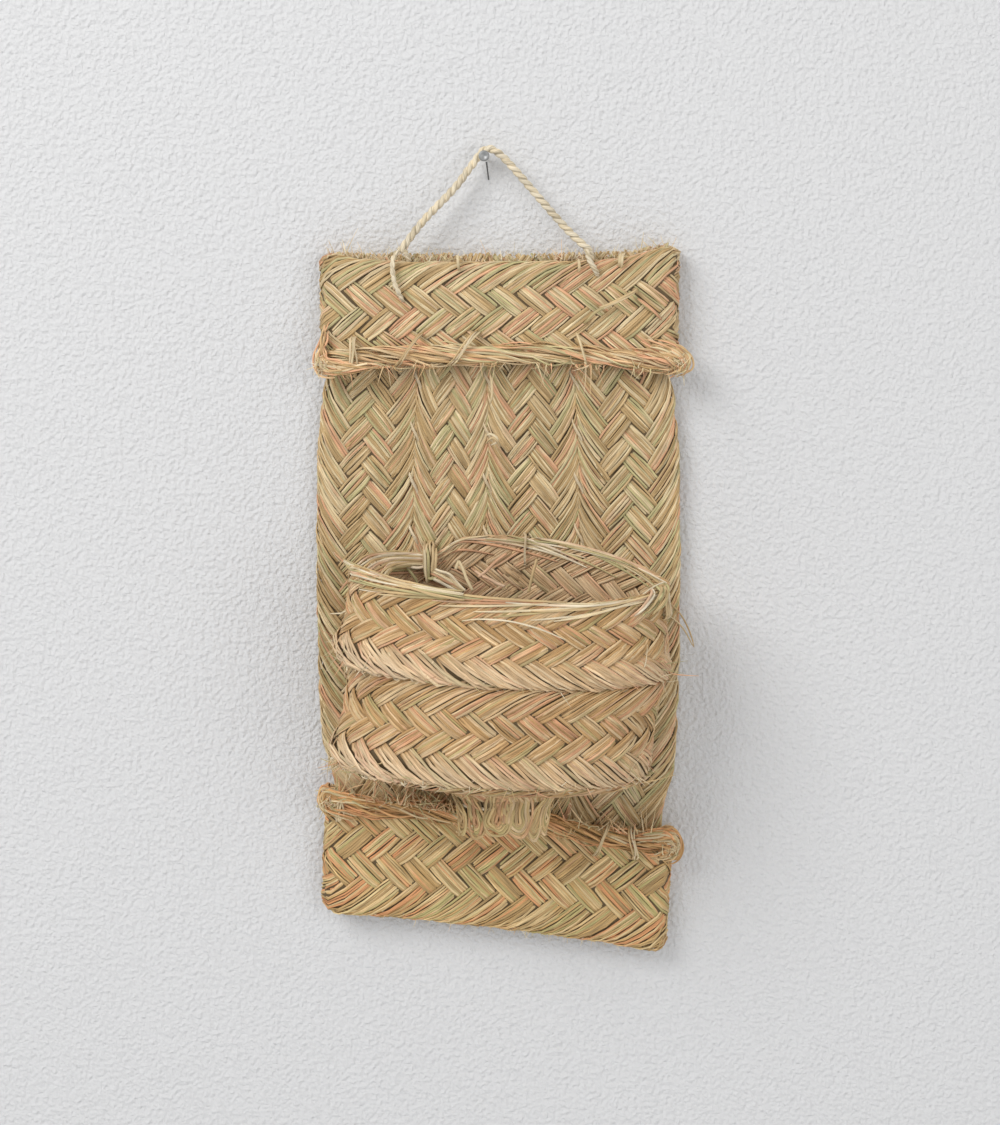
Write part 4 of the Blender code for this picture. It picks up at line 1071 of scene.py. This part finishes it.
# Level, turn and distance outwards of a blade that is wound over the rim, from its front to its inside.
OVER_RIM = np.array(((-0.0090, -0.22, 0.0040), (-0.0050, -0.12, 0.0046), (0.0008, 0.0, 0.0034),
                     (0.0024, 0.03, 0.0), (-0.0005, 0.05, -0.0034), (-0.0070, 0.07, -0.0040)))
rng = np.random.default_rng(98)
around = np.linspace(-0.52, -0.28, 8)[:, None] + rng.normal(0.0, 0.02, (8, 1))
level, turn, proud = OVER_RIM.T
routes = pocket_point(POCKET_RIM_Z + level + 0 * around, around + turn, proud)
routes = routes + rng.normal(0.0, 0.0007, routes.shape)
loose_blades("pocket_rim_winding", routes, rim_finish, 98, 0.0008, 0.0005, 30, 0.4)
KNOT_ENDS = (
    (-323, -150, -2079, -318, -178, -2129, -317, -184, -2194, -312, -178, -2235, -306, -165, -2269),
    (-306, -150, -2079, -300, -178, -2129, -299, -184, -2194, -298, -178, -2230, -297, -165, -2262),
    (-276, -150, -2064, -274, -178, -2129, -278, -184, -2171, -279, -178, -2210, -276, -165, -2236),
    (-258, -150, -2079, -258, -178, -2129, -261, -184, -2171, -265, -178, -2210, -267, -165, -2236),
    (-414, -200, -2180, -400, -210, -2195, -384, -210, -2215, -366, -205, -2245, -358, -200, -2270),
    (-310, -155, -2170, -335, -185, -2178, -360, -195, -2180, -395, -200, -2176, -414, -200, -2180),
    (-320, -150, -2235, -290, -185, -2242, -262, -190, -2236, -250, -180, -2222, -262, -160, -2208))
loose_blades("pocket_knot_ends", metres(KNOT_ENDS), rim_finish, 92, 0.0009, 0.0006)

# Loose ends
# Cut and broken blades that stick out of the work: sewing ends on the top band, strays at the sides
# and across the pocket's front, the ends of a knot on the panel, and cut sticks inside the pocket.
LOOSE_ENDS = (
    ("top_band_sewing_ends", 95, 0.0009, 0.0005, 0.5, (0.97, 0.35, 0.5, 0.1, 0.5, 0.6, 0.5, 0.55), (
        (816, -90, -747, 835, -112, -760, 858, -120, -777, 905, -120, -817, 945, -95, -861),
        (816, -85, -696, 795, -115, -709, 734, -127, -741, 668, -127, -774, 611, -125, -793),
        (812, -85, -702, 785, -115, -722, 728, -127, -752, 668, -127, -781, 600, -120, -815),
        (668, -122, -780, 611, -125, -805, 578, -122, -830, 551, -110, -861, 530, -85, -880),
        (724, -85, -508, 719, -112, -525, 717, -117, -545, 716, -108, -562, 716, -80, -580),
        (738, -85, -512, 732, -112, -528, 730, -117, -548, 729, -108, -566, 727, -80, -584),
        (500, -85, -540, 503, -112, -556, 504, -117, -575, 503, -108, -592, 502, -80, -610),
        (-143, -85, -520, -138, -112, -538, -137, -117, -558, -135, -108, -580, -133, -80, -600))),
    ("stray_blades", 93, 0.0005, 0.0004, 0.5, (0.95, 0.6, 0.72, 0.3, 0.5, 0.7), (
        (-815, -80, -2111, -800, -130, -2116, -774, -220, -2122, -732, -350, -2131, -677, -500, -2123),
        (-839, -80, -2451, -794, -150, -2437, -770, -210, -2425, -746, -280, -2403, -700, -430, -2366),
        (-107, -950, -2330, -16, -985, -2315, 135, -1000, -2323, 286, -985, -2366, 414, -945, -2428),
        (1000, -15, -2390, 1070, -22, -2464, 1112, -30, -2540, 1135, -30, -2600, 1145, -25, -2646),
        (990, -15, -2460, 1058, -22, -2512, 1095, -30, -2557, 1120, -30, -2602, 1140, -25, -2640),
        (740, -780, -2270, 806, -740, -2240, 870, -680, -2206, 930, -610, -2190, 952, -540, -2205))),
    ("panel_knot_ends", 99, 0.0008, 0.0006, 0.5, (0.5, 0.7, 0.4), (
        (31, -70, -1150, 37, -90, -1180, 42, -95, -1223, 42, -90, -1266, 31, -70, -1310),
        (10, -65, -1483, 31, -85, -1470, 63, -88, -1486, 69, -85, -1513, 36, -65, -1532),
        (10, -65, -1526, 26, -88, -1502, 47, -92, -1491, 69, -90, -1508, 85, -65, -1543))),
    ("cut_sticks", 96, 0.0010, 0.0007, 0.15, (0.5, 0.5, 0.3, 0.9, 0.9), (
        (-137, -150, -2149, -125, -165, -2170, -113, -180, -2195, -93, -195, -2243, -62, -215, -2300),
        (-137, -150, -2149, -141, -155, -2158, -146, -160, -2168, -150, -166, -2180, -154, -170, -2191),
        (283, -150, -2140, 272, -165, -2175, 262, -180, -2210, 250, -190, -2260, 238, -205, -2311),
        (-50, -170, -2200, -10, -190, -2225, 30, -205, -2240, 70, -215, -2262, 110, -230, -2275),
        (120, -150, -2110, 80, -165, -2135, 45, -175, -2165, 10, -185, -2200, -30, -195, -2230))))
for name, seed, wide, thick, tip, tones, routes in LOOSE_ENDS:
    loose_blades(name, metres(routes), rim_finish, seed, wide, thick, tip=tip, tones=tones)

# Fuzz
# Broken fibres along every cut or worn edge: a fringe on the panel's ends, and hairs on the edge
# cords, the pocket's lips and the gather.
FUZZ_REAR_Y = 0.0090
TOP_CLUMPS = ((-0.071, 0.006), (-0.043, 0.012), (-0.010, 0.020), (0.048, 0.010), (0.085, 0.012))
EDGE_CLUMPS = (-0.075, -0.052, -0.034, 0.004, 0.031, 0.052, 0.058, 0.084, 0.100)
HANK_ENDS = ((-0.0860, -0.0140, -0.1095), (0.1030, -0.0135, -0.1085), (-0.0850, -0.0140, -0.3490),
             (0.1020, -0.0140, -0.3740))
CURLS = 52
GATHER_HAIRS = 60


def wisps(name, roots, ways, length, curl, finish, seed, wide=0.00028):
    """Short fibres. Each runs from its root along its way and bends off with the square of the
    distance, in a direction of its own, and tapers to its tip."""
    rng = np.random.default_rng(seed)
    count = len(roots)
    s = np.linspace(0.0, 1.0, 7)[None, :, None]
    far = rng.uniform(*length, (count, 1, 1))
    way = unit(np.broadcast_to(ways, (count, 3)) + rng.normal(0.0, 0.45, (count, 3)))[:, None]
    line = roots[:, None] + far * (s * way + s**2 * curl * rng.normal(0.0, 1.0, (count, 1, 3)))
    line[..., 1] = np.minimum(line[..., 1], FUZZ_REAR_Y)
    face = np.broadcast_to(FORWARD, line.shape)
    size = wide * rng.uniform(0.6, 1.5, (count, 1)) * (1 - 0.75 * s[..., 0])
    blades(name, line, face, size, size * 0.7, rng.uniform(0, 1, count), finish, sides=4)


rng = np.random.default_rng(101)


def rooted(x, front, rear, level):
    """Roots at places across the work, at random depths between its front and its rear, at a level."""
    return np.stack([x, rng.uniform(front, rear, x.size), level], axis=1)


fuzz_finish = grass_finish("fuzz_grass", [
    (1, (0.62, 0.53, 0.30)), (2, (0.74, 0.60, 0.36)), (3, (0.84, 0.71, 0.47)), (1, (0.76, 0.50, 0.32)),
    (2, (0.88, 0.79, 0.60))])
x = np.concatenate([rng.normal(centre, wide, 90) for centre, wide in TOP_CLUMPS])
x = np.clip(x, -0.082, 0.098)
roots = rooted(x, -0.005, 0.004, top_edge(x) + rng.uniform(-0.002, 0.002, x.size))
wisps("top_fringe", roots, UP, (0.002, 0.0070), 0.45, fuzz_finish, 102, 0.00034)
x = np.concatenate([rng.uniform(-0.075, 0.090, 170), rng.normal(0.030, 0.012, 80)])
wisps("foot_fringe", rooted(x, -0.007, 0.002, foot_edge(x) + 0.0018), (0.0, -0.1, -1.0),
      (0.002, 0.0050), 0.35, fuzz_finish, 103)
x = np.concatenate([rng.normal(centre, 0.0035, 12) for centre in EDGE_CLUMPS])
wisps("top_edge_fuzz", rooted(x, -0.0135, -0.010, top_cord_level(x) - 0.0045),
      (0.0, -0.1, -0.7), (0.003, 0.0085), 0.7, edge_finish, 104, 0.00040)
x = np.concatenate([rng.normal(-0.062, 0.016, 80), rng.normal(-0.030, 0.010, 80),
                    rng.uniform(0.04, 0.094, 40)])
x = np.clip(x, -0.080, 0.094)
wisps("foot_edge_fuzz", rooted(x, -0.0135, -0.007, foot_cord_level(x) + 0.0030),
      (0.0, -0.2, 0.8), (0.003, 0.0110), 0.7, edge_finish, 105, 0.00055)
roots = np.repeat(HANK_ENDS, 40, axis=0) + rng.normal(0.0, 1.0, (160, 3)) * (0.0026, 0.0008, 0.0020)
wisps("hank_end_fuzz", roots, 0.3 * FORWARD, (0.002, 0.0050), 0.6, fuzz_finish, 109,
      0.00042)
for number, (level, count) in enumerate(((POCKET_JOIN_Z, 50), (POCKET_FOOT_Z, 110)), 1):
    angle = np.pi * 1.25 + np.clip(rng.normal(0.0, 0.8, count), -1.1, 1.9)
    here = np.full(count, level)
    out = pocket_point(here, angle, 1.0) - pocket_point(here, angle)
    roots = pocket_point(level + rng.uniform(-0.001, 0.005, count), angle, 0.0030)
    roots = roots + out * (POCKET_LEFT_LIP * leftness(angle))[:, None]
    wisps(f"pocket_lip_fuzz_{number}", roots, 0.6 * out - 0.5 * UP, (0.002, 0.0060), 0.6,
          rim_finish, 105 + number, 0.00034)
    angle = np.concatenate([rng.normal(np.pi + 0.15, 0.28, 34), rng.normal(-0.30, 0.16, CURLS - 34)])
    roots = pocket_point(level + rng.uniform(-0.002, 0.011, CURLS), angle, 0.0030)
    wisps(f"pocket_end_curls_{number}", roots, (0.1, -0.7, 0.0), (0.004, 0.010), 0.9,
          rim_finish, 110 + number, 0.00045)
angle = rng.uniform(0.0, 2 * np.pi, GATHER_HAIRS)
roots = base_point(rng.uniform(0.5, 0.7, GATHER_HAIRS), GATHER_DROP * rng.uniform(0.3, 0.9, GATHER_HAIRS),
                   angle, 0.003)
wisps("gather_fuzz", roots, (0.0, -0.4, -0.6), (0.003, 0.007), 0.6, gather_finish, 108,
      0.00040)

# Stage
# A pale wall behind, which is clear from its back, and a pale floor far below, in soft light. The nail
# and the thin dark grey strip that runs down from it to the wall belong to the wall.
WALL_Y = 0.0094
STAGE_REACH = 3
FLOOR_Z = -1.2
WALL_TOP_Z = 2
NAIL_SIDES = 24
NAIL_PROFILE = np.array([(0.0094, 0.0011), (-0.0046, 0.0011), (-0.0047, 0.0026), (-0.0052, 0.0029),
                         (-0.0060, 0.0028), (-0.0063, 0.0021), (-0.0060, 0.0015), (-0.0056, 0.0001)])
DARK_STREAK_TOP = (0.0008, 0.0040, -0.0030)
DARK_STREAK_FOOT = (0.0021, 0.0090, -0.0125)
LAMP_AIM = (0.0, 0.0, -0.2)


def plain(name, colour, roughness=0.9, metallic=0.0):
    """A material of one colour, with the tree of its nodes and its shader."""
    return new_material(name, {"Base Color": (*colour, 1.0), "Roughness": roughness,
                               "Metallic": metallic})


def on_stage(name, corners, faces, material):
    """A piece of the stage, made of four-cornered faces."""
    mesh = bpy.data.meshes.new(name)
    mesh.from_pydata(corners, [], faces)
    mesh.materials.append(material)
    made = add_object(name, mesh)
    return made


wall_paint, tree, shader = plain("wall_paint", (0.645, 0.647, 0.655))
spot = add_node(tree, "TexCoord", -900, -200, {}).outputs["Object"]
grit = noise(tree, -700, -200, spot, 400.0, 3.0)
bump = add_node(tree, "Bump", -400, -200, {"Strength": 0.7, "Distance": 0.0030, "Height": grit})
wire(shader, {"Normal": bump.outputs[0]})
behind = add_node(tree, "NewGeometry", 0, 300, {}).outputs["Backfacing"]
clear = add_node(tree, "BsdfTransparent", 0, -200, {}).outputs[0]
mix = add_node(tree, "MixShader", 250, 0, {0: behind, 1: shader.outputs[0], 2: clear})
wire(tree.nodes["Material Output"], {"Surface": mix.outputs[0]})
wall = on_stage("wall", [(-STAGE_REACH, WALL_Y, FLOOR_Z), (STAGE_REACH, WALL_Y, FLOOR_Z),
                         (STAGE_REACH, WALL_Y, WALL_TOP_Z), (-STAGE_REACH, WALL_Y, WALL_TOP_Z)],
                [(0, 1, 2, 3)], wall_paint)
wall.visible_shadow = False
floor_paint, _, _ = plain("floor_paint", (0.72, 0.73, 0.75))
on_stage("floor", [(-STAGE_REACH, -STAGE_REACH, FLOOR_Z), (STAGE_REACH, -STAGE_REACH, FLOOR_Z),
                   (STAGE_REACH, STAGE_REACH, FLOOR_Z), (-STAGE_REACH, STAGE_REACH, FLOOR_Z)],
         [(0, 1, 2, 3)], floor_paint)

# The nail is a turned profile: distance along it from the wall, and radius.
turn = 2 * np.pi * np.arange(NAIL_SIDES) / NAIL_SIDES
depth, radius = NAIL_PROFILE.T[..., None]
rings = np.stack([radius * np.cos(turn), depth + 0 * turn, radius * np.sin(turn)], axis=-1)
index = np.arange(len(NAIL_PROFILE) * NAIL_SIDES).reshape(-1, NAIL_SIDES)
after = np.roll(index, -1, axis=1)
faces = np.stack([index[:-1], after[:-1], after[1:], index[1:]], axis=-1).reshape(-1, 4)
nail_steel, _, _ = plain("nail_steel", (0.30, 0.305, 0.305), 0.45, 0.7)
nail = on_stage("nail", rings.reshape(-1, 3), faces, nail_steel)
nail.data.polygons.foreach_set("use_smooth", np.ones(len(faces), bool))
# A thin dark grey strip runs from the nail's shank down to the wall.
dark_streak = [DARK_STREAK_TOP, np.add(DARK_STREAK_TOP, (0.0009, 0.0, 0.0)), np.add(DARK_STREAK_FOOT, (0.0007, 0.0, 0.0)),
          DARK_STREAK_FOOT]
dark_streak_grey, _, _ = plain("dark_streak_grey", (0.10, 0.10, 0.10))
on_stage("nail_dark_streak", dark_streak, [(0, 1, 2, 3)], dark_streak_grey)


def lamp(name, place, size, power):
    """A square soft lamp that looks at the basket's middle."""
    light = bpy.data.lights.new(name, "AREA")
    light.size = size
    light.energy = power
    made = add_object(name, light)
    made.location = place
    away = np.subtract(place, LAMP_AIM)
    made.rotation_euler = (np.arctan2(np.hypot(away[0], away[1]), away[2]), 0.0,
                           np.arctan2(away[0], -away[1]))


lamp("key_lamp", (-1.3, -1.6, 1.2), 1.3, 38)
lamp("fill_lamp", (1.3, -1.9, 0.0), 1.6, 11)
lamp("back_lamp", (0.6, 1.8, 0.8), 1.2, 16)
world = bpy.data.worlds.new("world")
bpy.context.scene.world = world
world.use_nodes = True
wire(world.node_tree.nodes["Background"], {"Color": (1.0, 0.99, 0.97, 1.0), "Strength": 0.63})
bpy.context.scene.view_settings.view_transform = "Standard"
